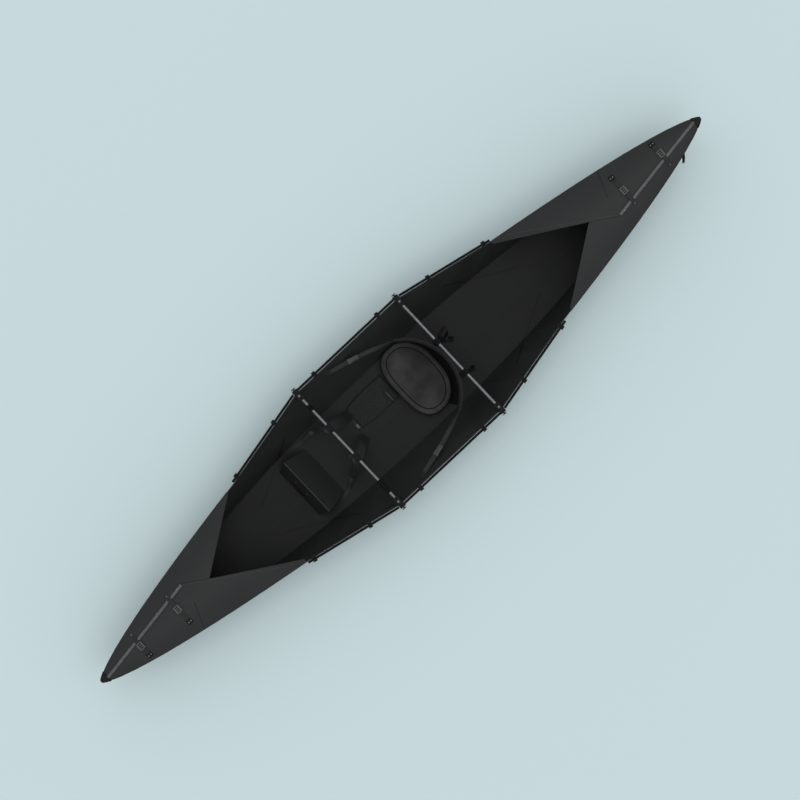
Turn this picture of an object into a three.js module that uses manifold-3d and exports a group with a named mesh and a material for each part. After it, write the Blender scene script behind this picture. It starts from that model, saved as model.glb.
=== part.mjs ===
// Folding kayak: a hull of creased sheet plastic with deck flaps, gunwale rails, crossbars,
// a sling seat, a carrying harness and a foot brace.
// Millimetres. +X runs to the bow, +Y to port and +Z up, and the keel's flat lies at height zero.
// Everything is placed from the cockpit's centre, and the whole group is moved at the end so that
// its origin lies midway between the two tips.

import * as THREE from 'three';
import { mergeVertices } from 'three/addons/utils/BufferGeometryUtils.js';
import Module from 'manifold-3d';

const wasm = await Module();
wasm.setup();

// Driving sizes of the hull

const overallLength = 4650;
const cockpitAheadOfMiddle = 14; // the cockpit sits slightly towards the bow
const sheetHalfBeam = 433; // outside of the sheet at the gunwale, between the crossbars
const hullDepth = 300; // keel to gunwale amidships
const sheetThickness = 5;
const foldGap = 0.4; // left between two panels along a crease
const restGap = 0.4; // left between a piece and what it lies on

const barReach = 391; // cockpit centre to each crossbar
const railReach = 1000; // cockpit centre to the outer end of the gunwale rails
const railEndHalfBeam = 305;
const planFullness = 0.675; // exponent of the outline beyond the rails
const capLength = 48;

const chineHalfWidth = 262;
const chinePower = 2.2;
const keelFlatHalfWidth = 40;
const keelFlatShare = 0.25; // of the chine's half width, where the hull is narrow
const keelFlatReach = 1250;
const stemRise = 190;
const stemPower = 2.2;
const deadriseSlope = 0.1;
const deadriseGain = 0.5; // added to the floor's slope at the tips
const sheerRise = 57;

const deckCrownShare = 0.25; // height of the deck's arch as a share of its half width
const lapGap = 1; // between the over flap and the under flap
const flapLapShare = 0.1; // the over flap's climb ends this share of the half width off the middle
const openingTipReach = 1465; // cockpit centre to each pointed end of the cockpit opening
const overFlapRoot = 945; // where the over flap's free edge would meet the gunwale
const underFlapRoot = 1035;
const underFlapTrim = 32; // cut off the under flap's thin root corner
const flapEndGap = 0.6;
const seamLength = 710; // from the tip to the seam's inner end
const seamOffset = 93; // of the seam's inner end from the centreline
const seamTipOffset = 4;

const hullTipShares = [0.1, 0.2, 0.3, 0.4, 0.49, 0.58, 0.67, 0.75, 0.82, 0.89, 0.96, 1];
const hullMidShares = [0.5, 1];
const hullTaperShares = [0.35, 0.7, 1];
const flapColumns = 9;
// Shares of the way from a flap's root corner to the opening's tip, on to the seam's inner end,
// and on to the tip.
const flapRootShares = [0, 0.25, 0.5, 0.75];
const flapLapShares = [0, 0.25, 0.5, 0.75];
const flapTipShares = [0.14, 0.28, 0.42, 0.55, 0.67, 0.78, 0.87, 0.94, 1];

// Sizes of the fittings

const seamRail = {
  inward: 12,
  outward: 4,
  plate: 4,
  crown: 1,
  seatGap: 0.8,
  edgeGap: 0.6,
  underGap: 0.8,
};
const cap = { proud: 3, shoulderShare: 0.75 };
const capShares = [0, 0.2, 0.45, 0.7, 0.88, 1];

const rail = { radius: 7.5, sides: 12, seat: 0.5, endGap: 0.8 };
const railClip = { length: 24, outward: 16.5, height: 12, inward: 24, above: 1.5, plate: 3.5 };
// Shares of a crossbar's reach, and of the way from it to the rail's outer end.
const railClipShares = { mid: [0.627], end: [0.343, 0.934] };

const bar = { radius: 10, sides: 20 };
const fitting = {
  length: 36,
  inner: 52, // reaches this far inboard of the sheet's edge
  outer: 21,
  below: 22,
  above: 14,
  outerLift: 6, // the outer leg ends this much higher than the inner one
  chamfer: 3,
  slotGap: 0.7,
  socketDepth: 20,
  socketGap: 0.3,
  teeNeck: 10,
  teeReach: 6,
  teeWidth: 26,
  teeThick: 5,
  teeHeight: 12,
};
const knob = {
  inboard: 23, // of the sheet's edge
  radius: 12,
  lobes: 8,
  lobeShare: 0.08,
  easeShare: 0.88, // of the radius at a rounded rim
  edgeShare: 0.2, // of the height that the rim's rounding takes
  height: 11,
  capRadius: 5,
  capHeight: 5,
  stemRadius: 4,
  stemDepth: 9,
  stemGap: 0.4,
  points: 24,
};

const seatPad = {
  centreX: -176,
  centreY: -31,
  halfWidth: 239,
  halfDepth: 150,
  height: 64,
  crownInset: 135, // of the topmost level's outline
  squareness: 3,
  rearTaperShare: 0.25,
  rearTaperPower: 1.5,
  points: 40,
};
// Each level of the seat pad: share of its height, and of the crown's inset that it is drawn in by.
const seatPadLevelShares = [
  [0, 0.22], [0.16, 0.1], [0.41, 0.015], [0.56, 0], [0.7, 0.03], [0.78, 0.08],
  [0.78, 0.2], [0.72, 0.23], [0.78, 0.26], [0.89, 0.44], [0.97, 0.7], [1, 1],
];

const backrest = {
  radius: 318,
  halfWidth: 275,
  top: 308,
  height: 188,
  wingHeight: 120,
  wingDrop: 22, // of the wing ends' top edge
  thickness: 14,
  barGap: 0.6,
  steps: 20,
};
const hangerLoop = {
  centreY: 18,
  halfSpacing: 118,
  width: 38,
  thickness: 2.5,
  gap: 0.5,
  seatGap: 0.4, // from the backrest's rear face
  tail: 105,
  sides: 20,
};

const seatStrap = {
  width: 25,
  thickness: 2.2,
  wingGap: 1.1, // along its middle; its tilted end comes closer to the backrest
  anchorX: 189,
  anchorBelowGunwale: 20,
  middleShare: 0.5,
  bow: 8, // outwards at its middle
  sag: 12,
  turnShare: 0.85, // of its length over which it turns from upright to flat
  steps: 32,
};
const strapAnchor = { length: 34, thickness: 3, reach: 31, gap: 0.5, strapGap: 0.7 };
const seatBuckle = {
  startShare: 0.52,
  endShare: 0.68,
  width: 36,
  waistWidth: 30,
  thickness: 12,
  gap: 0.8,
  steps: 6,
};

const harness = {
  padGap: 0.8, // from the seat pad's front edge
  frontX: 262,
  centreY: -106,
  halfWidth: 88,
  rearShare: 0.94, // of the half width, at its rear edge
  frontTaperShare: 0.2, // of the half width, lost towards its front edge
  thickness: 12,
  edgeThickness: 5,
  edgeShare: 0.16, // of the half width that the thin border takes
};
const harnessAcrossShares = [-1, -0.86, -0.45, 0, 0.45, 0.86, 1];
const harnessAlongShares = [0, 0.15, 0.32, 0.5, 0.7, 0.86, 1];
const harnessHandle = {
  x: 19,
  centreY: -64,
  span: 80,
  rise: 24,
  legShare: 0.6,
  footGap: 0.7,
  radius: 4.5,
  sides: 8,
  steps: 14,
};

const shoulderPad = { width: 66, endWidth: 48, thickness: 12, steps: 33, barGap: 0.8 };
const barWrapDegrees = [180, 150, 120, 90, 60, 30, 0];
const shoulderRoutes = {
  // Plan places: where the pad leaves the panel, crosses the bar, ends, and where its webbing is anchored.
  starboard: { root: [270, -140], bar: -158, end: [474, -210], anchor: [636, -222] },
  port: { root: [284, 12], bar: 66, end: [498, 128], anchor: [624, 187] },
};
const shoulderHeights = { root: 32, low: 70, knee: 215, drop: 215, end: 108 };
const shoulderRun = {
  rootLead: 34,
  leadShare: 0.3,
  kneeBack: 36,
  kneeShare: 0.85,
  dropAhead: 34,
  dropShare: 0.4,
};
const shoulderWeb = {
  width: 20,
  thickness: 2,
  padGap: 0.8,
  lead: 20, // length that leaves the pad straight
  landing: 62, // length that lies on the floor before the anchor
  landingShare: 0.75,
  landingRise: 5,
  steps: 12,
};
const ladderLock = {
  startShare: 0.1,
  endShare: 0.38,
  width: 30,
  thickness: 8,
  gap: 0.6,
  steps: 4,
};
const sternum = {
  width: 18,
  thickness: 4,
  length: 62,
  gap: 0.9,
  buckleShare: 0.55, // of its length before the buckle half
  buckleWidth: 22,
  buckleThickness: 9,
  rootShare: 0.87, // of the way along the port shoulder strap
  hang: 78,
  swing: 20,
  steps: 6,
};

const footBrace = {
  nearX: 591,
  topX: 723,
  farX: 790,
  centreY: -5,
  nearHalfWidth: 168,
  topHalfWidth: 193,
  topHeight: 175,
};
const footPull = { centreY: -20, span: 95, fromTop: 96, drop: 46, radius: 3.5, sides: 8, steps: 18 };
// Each place on the pull's loop: share of half its span, and of its drop.
const footPullShares = [[-1, 0], [-0.96, 0.5], [-0.7, 0.9], [0, 1], [0.7, 0.9], [0.96, 0.5], [1, 0]];

const deckStrap = {
  width: 25,
  thickness: 2,
  clear: 0.6,
  buckleLift: 4.2,
  railClear: 1.2,
  slack: 8, // length that it takes to rise or fall
  step: 12,
  anchorOut: 14,
  anchorWidth: 32,
  anchorHeight: 5,
  anchorLength: 30,
  studLength: 16,
};
const deckStrapPlaces = {
  inner: { fromTip: 604, anchor: 96, buckle: -2, stud: -98 },
  outer: { fromTip: 309, anchor: 78, buckle: 6, stud: -76 },
};
const deckBuckle = { length: 44, width: 36, height: 11, base: 0.5, gap: 0.5, window: 7, bridge: 5 };
const carryTab = { fromTip: 207, below: 16, outward: 36, drop: 34, skew: 26, width: 20, thickness: 4 };
// Each ring of the carry tab: share of the way outwards, and of the way down.
const carryTabShares = [[0, 0], [0.35, 0.1], [0.7, 0.42], [1, 1]];

const cutOverrun = 5;

// Materials

const finish = (color, roughness, metalness = 0) => ({ color, roughness, metalness });
const finishes = {
  sheet: finish(0x2b2b2d, 0.55),
  cap: finish(0x141415, 0.5),
  seam: finish(0x8d8f92, 0.35, 0.6),
  rail: finish(0x35383a, 0.35, 0.7),
  tube: finish(0xb4b6b8, 0.3, 0.9),
  moulded: finish(0x161617, 0.45),
  knob: finish(0x9a9c9f, 0.3, 0.8),
  cushion: finish(0x1f1f20, 0.85),
  webbing: finish(0x2a2a2b, 0.8),
  buckle: finish(0x3a3b3d, 0.35),
};

// Geometry helpers

const lerp = THREE.MathUtils.lerp;
const clamp = THREE.MathUtils.clamp;
const point = (x, y, z) => new THREE.Vector3(x, y, z);

const triangleArea = (p, q, r) => {
  const normal = point().subVectors(q, p).cross(point().subVectors(r, p));
  return normal.length() / 2;
};

// Triangles that close a ring of points, turned the same way as the ring. Each point is paired
// with the one as far from the ring's end as it is from its start, which suits a convex ring and
// one that runs along a sheet and back.
function capTriangles(ring) {
  const last = ring.length - 1;
  const triangles = [];
  for (let i = 0; i + 1 < last - i; i += 1) {
    const [a, b, c, d] = [i, i + 1, last - i - 1, last - i];
    if (b === c) {
      triangles.push([a, b, d]);
      break;
    }
    const choices = [[[a, b, c], [a, c, d]], [[a, b, d], [b, c, d]]];
    const [one, other] = choices.map((pair) => (
      Math.min(...pair.map((triangle) => triangleArea(...triangle.map((k) => ring[k]))))
    ));
    triangles.push(...(one >= other ? choices[0] : choices[1]));
  }
  return triangles;
}

function signedVolume(positions, index) {
  const at = (k) => point().fromArray(positions, 3 * k);
  let sum = 0;
  for (let i = 0; i < index.length; i += 3) {
    const [a, b, c] = [at(index[i]), at(index[i + 1]), at(index[i + 2])];
    sum += a.dot(b.cross(c));
  }
  return sum / 6;
}

// The same triangles in the same order, each turned over.
function turnedOver(index) {
  return [...index].map((_, i) => index[i + 2 - 2 * (i % 3)]);
}

// A closed solid through rings of points that all hold the same number of points.
function loft(rings) {
  const count = rings[0].length;
  const positions = rings.flat().flatMap((p) => p.toArray());
  let index = [];
  for (let i = 0; i + 1 < rings.length; i += 1) {
    for (let j = 0; j < count; j += 1) {
      const a = i * count + j;
      const b = i * count + ((j + 1) % count);
      index.push(a, b, b + count, a, b + count, a + count);
    }
  }
  const last = (rings.length - 1) * count;
  capTriangles(rings[0]).forEach(([a, b, c]) => index.push(c, b, a));
  capTriangles(rings.at(-1)).forEach(([a, b, c]) => index.push(last + a, last + b, last + c));
  if (signedVolume(positions, index) < 0) {
    index = turnedOver(index);
  }
  const geometry = new THREE.BufferGeometry();
  geometry.setAttribute('position', new THREE.Float32BufferAttribute(positions, 3));
  geometry.setIndex(index);
  return geometry;
}

function toSolid(geometry) {
  const bare = geometry.clone();
  bare.deleteAttribute('normal');
  bare.deleteAttribute('uv');
  const merged = mergeVertices(bare);
  if (signedVolume(merged.attributes.position.array, merged.index.array) < 0) {
    merged.setIndex(turnedOver(merged.index.array));
  }
  return new wasm.Manifold(
    new wasm.Mesh({
      numProp: 3,
      vertProperties: new Float32Array(merged.attributes.position.array),
      triVerts: new Uint32Array(merged.index.array),
    }),
  );
}

function fromSolid(solid) {
  const mesh = solid.getMesh();
  const geometry = new THREE.BufferGeometry();
  geometry.setAttribute('position', new THREE.Float32BufferAttribute(mesh.vertProperties, 3));
  geometry.setIndex([...mesh.triVerts]);
  return geometry;
}

function join(...geometries) {
  return fromSolid(geometries.map(toSolid).reduce((sum, next) => sum.add(next)));
}

function cut(geometry, ...tools) {
  return fromSolid(tools.map(toSolid).reduce((rest, tool) => rest.subtract(tool), toSolid(geometry)));
}

// A box between two opposite corners.
function block(low, high) {
  const size = point().subVectors(high, low);
  const centre = point().addVectors(low, high).multiplyScalar(0.5);
  return new THREE.BoxGeometry(size.x, size.y, size.z).translate(centre.x, centre.y, centre.z);
}

// A prism along the hull whose outline is drawn in the plane across it.
function prism(outline, from, to) {
  return loft([from, to].map((x) => outline.map((p) => point(x, p.x, p.y))));
}

// A straight round bar between two points.
function rod(from, to, radius, sides) {
  const along = point().subVectors(to, from);
  const geometry = new THREE.CylinderGeometry(radius, radius, along.length(), sides);
  const turn = new THREE.Quaternion().setFromUnitVectors(point(0, 1, 0), along.normalize());
  const centre = point().addVectors(from, to).multiplyScalar(0.5);
  return geometry.applyQuaternion(turn).translate(centre.x, centre.y, centre.z);
}

// A round tube along a curve.
function tube(curve, radius, sides, steps) {
  const outline = new THREE.Shape();
  for (let i = 0; i < sides; i += 1) {
    const angle = (2 * Math.PI * i) / sides;
    const [x, y] = [radius * Math.cos(angle), radius * Math.sin(angle)];
    if (i === 0) outline.moveTo(x, y);
    else outline.lineTo(x, y);
  }
  return new THREE.ExtrudeGeometry(outline, { steps, extrudePath: curve, bevelEnabled: false });
}

// A band along a curve between two shares of the way through its points. `across(share)` gives
// the direction of its width, and `section(share)` its outline as pairs of a place across and a
// height.
function band(curve, startShare, endShare, steps, across, section) {
  const rings = [];
  for (let i = 0; i <= steps; i += 1) {
    const share = lerp(startShare, endShare, i / steps);
    const middle = curve.getPoint(share);
    const along = curve.getTangent(share);
    const wide = across(share).clone();
    wide.addScaledVector(along, -wide.dot(along)).normalize();
    const thick = point().crossVectors(along, wide).normalize();
    rings.push(section(share).map(([w, t]) => (
      middle.clone().addScaledVector(wide, w).addScaledVector(thick, t)
    )));
  }
  return loft(rings);
}

function flatSection(width, thickness) {
  const [w, t] = [width / 2, thickness / 2];
  return [[-w, -t], [w, -t], [w, t], [-w, t]];
}

// Shares of half the width and half the thickness round a padded band.
const padOutlineShares = [
  [-1, 0], [-0.92, 0.55], [-0.6, 0.92], [0, 1], [0.6, 0.92], [0.92, 0.55],
  [1, 0], [0.92, -0.55], [0.6, -0.92], [0, -1], [-0.6, -0.92], [-0.92, -0.55],
];

function padSection(width, thickness) {
  return padOutlineShares.map(([w, t]) => [(w * width) / 2, (t * thickness) / 2]);
}

function meet(p, q, r, s) {
  const [dx, dy] = [q.x - p.x, q.y - p.y];
  const [ex, ey] = [s.x - r.x, s.y - r.y];
  const share = ((r.x - p.x) * ey - (r.y - p.y) * ex) / (dx * ey - dy * ex);
  return new THREE.Vector2(p.x + share * dx, p.y + share * dy);
}

function shifted(p, q, distance) {
  const along = new THREE.Vector2().subVectors(q, p).normalize();
  const left = new THREE.Vector2(-along.y, along.x).multiplyScalar(distance);
  return [p.clone().add(left), q.clone().add(left)];
}

// The second face of a bent sheet: the line moved to its left by the distance.
function offsetLine(line, distance) {
  const runs = line.slice(1).map((q, i) => shifted(line[i], q, distance));
  const inner = runs.slice(1).map((run, i) => meet(...runs[i], ...run));
  return [runs[0][0], ...inner, runs.at(-1)[1]];
}

// The place on the line through two points at a stated height.
function atHeight(p, q, height) {
  const share = (height - p.y) / (q.y - p.y);
  return new THREE.Vector2(lerp(p.x, q.x, share), height);
}

// The port piece as it is, or its mirror image for starboard.
function onSide(geometry, side) {
  if (side > 0) return geometry;
  const flipped = geometry.clone().scale(1, -1, 1);
  return flipped.setIndex(turnedOver(flipped.index.array));
}

const bothSides = (make) => Object.entries(sides).flatMap(([name, side]) => make(side, name));

function piece(name, geometry, { color, roughness, metalness }) {
  const bare = geometry.clone();
  bare.deleteAttribute('uv');
  bare.deleteAttribute('normal');
  const merged = mergeVertices(bare);
  merged.computeVertexNormals();
  const material = new THREE.MeshStandardMaterial({ color, roughness, metalness });
  const mesh = new THREE.Mesh(merged, material);
  mesh.name = name;
  return mesh;
}

// Hull lines. Each takes a place along the hull, measured from the cockpit's centre.

const bowReach = overallLength / 2 - cockpitAheadOfMiddle;
const sternReach = overallLength / 2 + cockpitAheadOfMiddle;
const reachAt = (x) => (x >= 0 ? bowReach : sternReach);
const sides = { port: 1, starboard: -1 };
const ends = {
  // The over flap hangs on the port side at the bow and on the starboard side at the stern.
  bow: { name: 'bow', sign: 1, reach: bowReach },
  stern: { name: 'stern', sign: -1, reach: sternReach },
};

function sheerHalf(x) {
  const a = Math.abs(x);
  if (a <= barReach) return sheetHalfBeam;
  if (a <= railReach) return lerp(sheetHalfBeam, railEndHalfBeam, (a - barReach) / (railReach - barReach));
  const share = (a - railReach) / (reachAt(x) - railReach);
  return railEndHalfBeam * (1 - share) ** planFullness;
}

function chineHalf(x) {
  const share = Math.abs(x) / reachAt(x);
  return chineHalfWidth * (1 - share ** chinePower);
}

function stemShare(x) {
  return clamp((Math.abs(x) - keelFlatReach) / (reachAt(x) - keelFlatReach), 0, 1);
}

const flatHalf = (x) => Math.min(keelFlatHalfWidth, keelFlatShare * chineHalf(x));
const keelHeight = (x) => stemRise * stemShare(x) ** stemPower;
const floorSlope = (x) => deadriseSlope + deadriseGain * stemShare(x) ** 2;
const chineHeight = (x) => keelHeight(x) + floorSlope(x) * (chineHalf(x) - flatHalf(x));

function sheerHeight(x) {
  return hullDepth + (sheerRise * Math.max(0, Math.abs(x) - barReach)) / (reachAt(x) - barReach);
}

// Height of the floor's upper face amidships, where the keel is straight.
function floorTop(y) {
  return sheetThickness + deadriseSlope * Math.max(0, Math.abs(y) - keelFlatHalfWidth);
}

// Both faces of half a cross-section, from the keel to the sheer.
function hullSection(x) {
  const outer = [
    new THREE.Vector2(0, keelHeight(x)),
    new THREE.Vector2(flatHalf(x), keelHeight(x)),
    new THREE.Vector2(chineHalf(x), chineHeight(x)),
    new THREE.Vector2(sheerHalf(x), sheerHeight(x)),
  ];
  const inner = offsetLine(outer, sheetThickness);
  inner[3] = atHeight(inner[2], inner[3], sheerHeight(x));
  return { outer, inner };
}

// A point moved along the line towards another one.
function towards(p, q, distance) {
  return p.clone().add(new THREE.Vector2().subVectors(q, p).setLength(distance));
}

function hullStations() {
  const run = (x0, x1, shares) => shares.map((share) => lerp(x0, x1, share));
  const half = (reach) => [
    ...run(0, barReach, hullMidShares),
    barReach + fitting.length / 2,
    ...run(barReach, railReach, hullTaperShares),
    ...run(railReach, reach - capLength, hullTipShares),
  ];
  return [...half(sternReach).map((a) => -a).reverse(), 0, ...half(bowReach)];
}

function floorPanel(side) {
  const rings = hullStations().map((x) => {
    const { outer, inner } = hullSection(x);
    const seam = new THREE.Vector2(foldGap / 2, 0);
    const line = [
      outer[0].clone().add(seam),
      outer[1],
      towards(outer[2], outer[1], foldGap / 2),
      towards(inner[2], inner[1], foldGap / 2),
      inner[1],
      inner[0].clone().add(seam),
    ];
    return line.map((p) => point(x, side * p.x, p.y));
  });
  return loft(rings);
}

function sidePanel(side) {
  const rings = hullStations().map((x) => {
    const { outer, inner } = hullSection(x);
    const line = [
      towards(outer[2], outer[3], foldGap / 2),
      outer[3],
      inner[3],
      towards(inner[2], inner[3], foldGap / 2),
    ];
    return line.map((p) => point(x, side * p.x, p.y));
  });
  return loft(rings);
}

// Deck. Each end is drawn with a along the hull towards its tip and b across towards the over
// flap's side; the stern is the bow turned half round.

const atEnd = (end, a, b, z) => point(end.sign * a, end.sign * b, z);
const endSheer = (end, a) => sheerHalf(end.sign * a);

function deckBottom(end, a, b) {
  const half = endSheer(end, a);
  const arch = deckCrownShare * half * (1 - (b / half) ** 2);
  return sheerHeight(end.sign * a) + foldGap + arch;
}

const underTop = (end, a, b) => deckBottom(end, a, b) + sheetThickness;

// The over flap climbs on to the under flap between its root and the centreline.
function overBottom(end, a, b) {
  const climb = clamp((endSheer(end, a) - b) / endSheer(end, a), 0, 1);
  return deckBottom(end, a, b) + (sheetThickness + lapGap) * Math.min(1, climb / (1 - flapLapShare));
}
const overTop = (end, a, b) => overBottom(end, a, b) + sheetThickness;

function seamAt(end, a) {
  const start = end.reach - seamLength;
  const share = (a - start) / (end.reach - capLength - start);
  return lerp(-seamOffset, seamTipOffset, share);
}

// The over flap's free edge runs straight from the gunwale past the opening's tip to the seam.
function overEdge(end, a) {
  const start = end.reach - seamLength;
  if (a >= start) return seamAt(end, a);
  const slope = (sheerHalf(end.sign * overFlapRoot) + seamOffset) / (start - overFlapRoot);
  return -seamOffset + slope * (start - a);
}

// The under flap's free edge runs from the gunwale to the opening's tip and then along the middle.
function underEdge(end, a) {
  const share = clamp((openingTipReach - a) / (openingTipReach - underFlapRoot), 0, 1);
  return -sheerHalf(end.sign * underFlapRoot) * share - seamTipOffset / 2;
}

function seamStations(end) {
  const seamStart = end.reach - seamLength;
  const last = end.reach - capLength - flapEndGap;
  return [0, ...flapTipShares].map((share) => lerp(seamStart, last, share));
}

// Both flaps share their stations from the opening's tip on, so that their curves match where
// they lap.
function flapStations(end, first) {
  const seamStart = end.reach - seamLength;
  return [
    ...flapRootShares.map((share) => lerp(first, openingTipReach, share)),
    ...flapLapShares.map((share) => lerp(openingTipReach, seamStart, share)),
    ...seamStations(end),
  ];
}

function flapRing(end, a, root, edge, bottom) {
  const places = Array.from({ length: flapColumns + 1 }, (_, i) => lerp(root, edge, i / flapColumns));
  const low = places.map((b) => atEnd(end, a, b, bottom(end, a, b)));
  const high = places.map((b) => atEnd(end, a, b, bottom(end, a, b) + sheetThickness));
  return [...low, ...high.reverse()];
}

function overFlap(end) {
  const stations = flapStations(end, railReach + rail.endGap + flapEndGap);
  return loft(stations.map((a) => flapRing(end, a, endSheer(end, a), overEdge(end, a), overBottom)));
}

function underFlap(end) {
  const stations = flapStations(end, underFlapRoot + underFlapTrim);
  return loft(stations.map((a) => flapRing(end, a, -endSheer(end, a), underEdge(end, a), deckBottom)));
}

// The seam rail caps the over flap's edge and shields it down to the under flap.
function seamRailSolid(end) {
  const { inward, outward, plate, crown, seatGap, edgeGap, underGap } = seamRail;
  return loft(seamStations(end).map((a) => {
    const edge = seamAt(end, a);
    const seat = (b) => overTop(end, a, b) + seatGap;
    const lipFoot = underTop(end, a, edge - outward) + underGap;
    const middle = edge + inward / 2;
    const line = [
      [edge + inward, seat(edge + inward) + plate],
      [middle, seat(middle) + plate + crown],
      [edge, seat(edge) + plate + crown],
      [edge - outward, seat(edge) + plate - crown],
      [edge - outward, lipFoot],
      [edge - edgeGap, lipFoot],
      [edge - edgeGap, seat(edge)],
      [edge, seat(edge)],
      [middle, seat(middle)],
      [edge + inward, seat(edge + inward)],
    ];
    return line.map(([b, z]) => atEnd(end, a, b, z));
  }));
}

function endCap(end) {
  const { proud, shoulderShare } = cap;
  const first = end.reach - capLength + restGap;
  const rings = capShares.map((share) => {
    const a = lerp(first, end.reach - proud, share);
    const x = end.sign * a;
    const half = sheerHalf(x) + proud;
    const top = sheerHeight(x) + foldGap + 2 * sheetThickness + lapGap;
    const crown = deckCrownShare * sheerHalf(x) + proud;
    const foot = keelHeight(x) - proud;
    const line = [
      [0, foot],
      [flatHalf(x) + proud, foot],
      [chineHalf(x) + proud, chineHeight(x)],
      [half, sheerHeight(x)],
      [half, top],
      [half / 2, top + crown * shoulderShare],
      [0, top + crown],
    ];
    const otherSide = line.slice(1, -1).reverse().map(([b, z]) => [-b, z]);
    return [...line, ...otherSide].map(([b, z]) => atEnd(end, a, b, z));
  });
  return loft(rings);
}

// Gunwale rails

// The rail lies outside the sheet's edge, level with it.
function railCentre(x) {
  const rise = sheerHeight(x) - chineHeight(x);
  const flare = Math.hypot(sheerHalf(x) - chineHalf(x), rise) / rise;
  return point(x, sheerHalf(x) + (rail.radius + rail.seat) * flare, sheerHeight(x));
}

function railClipSolid(x, heading) {
  const { length, outward, height, inward, above, plate } = railClip;
  const lug = block(point(-length / 2, 0, -height / 2), point(length / 2, outward, height / 2));
  const saddle = block(point(-length / 2, -inward, above), point(length / 2, 0, above + plate));
  const centre = railCentre(x);
  return join(lug, saddle).rotateZ(heading).translate(centre.x, centre.y, centre.z);
}

function railSolid(from, to, clips) {
  const start = railCentre(from);
  const stop = railCentre(to);
  const heading = Math.atan((stop.y - start.y) / (stop.x - start.x));
  return join(rod(start, stop, rail.radius, rail.sides), ...clips.map((x) => railClipSolid(x, heading)));
}

function gunwaleRails() {
  const inner = barReach - fitting.length / 2 - rail.endGap;
  // The end rails slant inwards, so one side of their square-cut end reaches further back.
  const slant = (sheetHalfBeam - railEndHalfBeam) / (railReach - barReach);
  const outer = barReach + fitting.length / 2 + rail.endGap + rail.radius * slant;
  const midClips = railClipShares.mid.map((share) => share * barReach);
  const endClips = railClipShares.end.map((share) => lerp(barReach, railReach, share));
  const zones = {
    stern: [-outer, -railReach, endClips.map((a) => -a)],
    mid: [-inner, inner, midClips.flatMap((a) => [-a, a])],
    bow: [outer, railReach, endClips],
  };
  return bothSides((side, sideName) => Object.entries(zones).map(([zone, span]) => (
    piece(`gunwale_rail_${sideName}_${zone}`, onSide(railSolid(...span), side), finishes.rail)
  )));
}

// Crossbars with the saddles that clamp their ends to the gunwales

function barHeight() {
  return sheerHeight(barReach);
}

// The saddle's slot follows the gunwale, which starts to close in at the crossbar.
function saddleSolid(x) {
  const edge = sheerHalf(x);
  const top = sheerHeight(x);
  const low = top - fitting.below;
  const roof = top + fitting.above;
  const rings = [x - fitting.length / 2, x, x + fitting.length / 2].map((at) => {
    const { outer, inner } = hullSection(at);
    const slotRoof = Math.max(top, sheerHeight(at)) + fitting.slotGap;
    const inside = shifted(inner[2], inner[3], fitting.slotGap);
    const outside = shifted(outer[2], outer[3], -fitting.slotGap);
    const outline = [
      new THREE.Vector2(edge - fitting.inner, low),
      atHeight(...inside, low),
      atHeight(...inside, slotRoof),
      atHeight(...outside, slotRoof),
      atHeight(...outside, low + fitting.outerLift),
      new THREE.Vector2(edge + fitting.outer, low + fitting.outerLift),
      new THREE.Vector2(edge + fitting.outer, roof - fitting.chamfer),
      new THREE.Vector2(edge + fitting.outer - fitting.chamfer, roof),
      new THREE.Vector2(edge - fitting.inner + fitting.chamfer, roof),
      new THREE.Vector2(edge - fitting.inner, roof - fitting.chamfer),
    ];
    return outline.map((p) => point(at, p.x, p.y));
  });
  return loft(rings);
}

function barFitting(x) {
  const edge = sheerHalf(x);
  const top = sheerHeight(x);
  const roof = top + fitting.above;
  const out = edge + fitting.outer;
  const neck = block(
    point(x - fitting.teeNeck / 2, out - fitting.teeReach, top - fitting.teeHeight / 2),
    point(x + fitting.teeNeck / 2, out + fitting.teeReach, top + fitting.teeHeight / 2),
  );
  const tee = block(
    point(x - fitting.teeWidth / 2, out + fitting.teeReach, top - fitting.teeHeight / 2),
    point(x + fitting.teeWidth / 2, out + fitting.teeReach + fitting.teeThick, top + fitting.teeHeight / 2),
  );
  const mouth = edge - fitting.inner;
  const socket = rod(
    point(x, mouth - cutOverrun, barHeight()),
    point(x, mouth + fitting.socketDepth, barHeight()),
    bar.radius + fitting.socketGap,
    bar.sides,
  );
  const stemHole = rod(
    point(x, edge - knob.inboard, roof - knob.stemDepth - knob.stemGap),
    point(x, edge - knob.inboard, roof + cutOverrun),
    knob.stemRadius + knob.stemGap,
    knob.points,
  );
  return cut(join(saddleSolid(x), neck, tee), socket, stemHole);
}

function knobSolid(x) {
  const base = sheerHeight(x) + fitting.above + restGap;
  const top = base + knob.height;
  const levels = [
    [knob.stemRadius, base - restGap - knob.stemDepth, 0],
    [knob.stemRadius, base, 0],
    [knob.radius * knob.easeShare, base, knob.lobeShare],
    [knob.radius, base + knob.height * knob.edgeShare, knob.lobeShare],
    [knob.radius, top - knob.height * knob.edgeShare, knob.lobeShare],
    [knob.radius * knob.easeShare, top, knob.lobeShare],
    [knob.capRadius, top, 0],
    [knob.capRadius, top + knob.capHeight * knob.easeShare, 0],
    [knob.capRadius * knob.easeShare, top + knob.capHeight, 0],
  ];
  const centre = sheerHalf(x) - knob.inboard;
  return loft(levels.map(([radius, z, lobe]) => (
    Array.from({ length: knob.points }, (_, i) => {
      const angle = (2 * Math.PI * i) / knob.points;
      const r = radius * (1 + lobe * Math.cos(knob.lobes * angle));
      return point(x + r * Math.cos(angle), centre + r * Math.sin(angle), z);
    })
  )));
}

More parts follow.
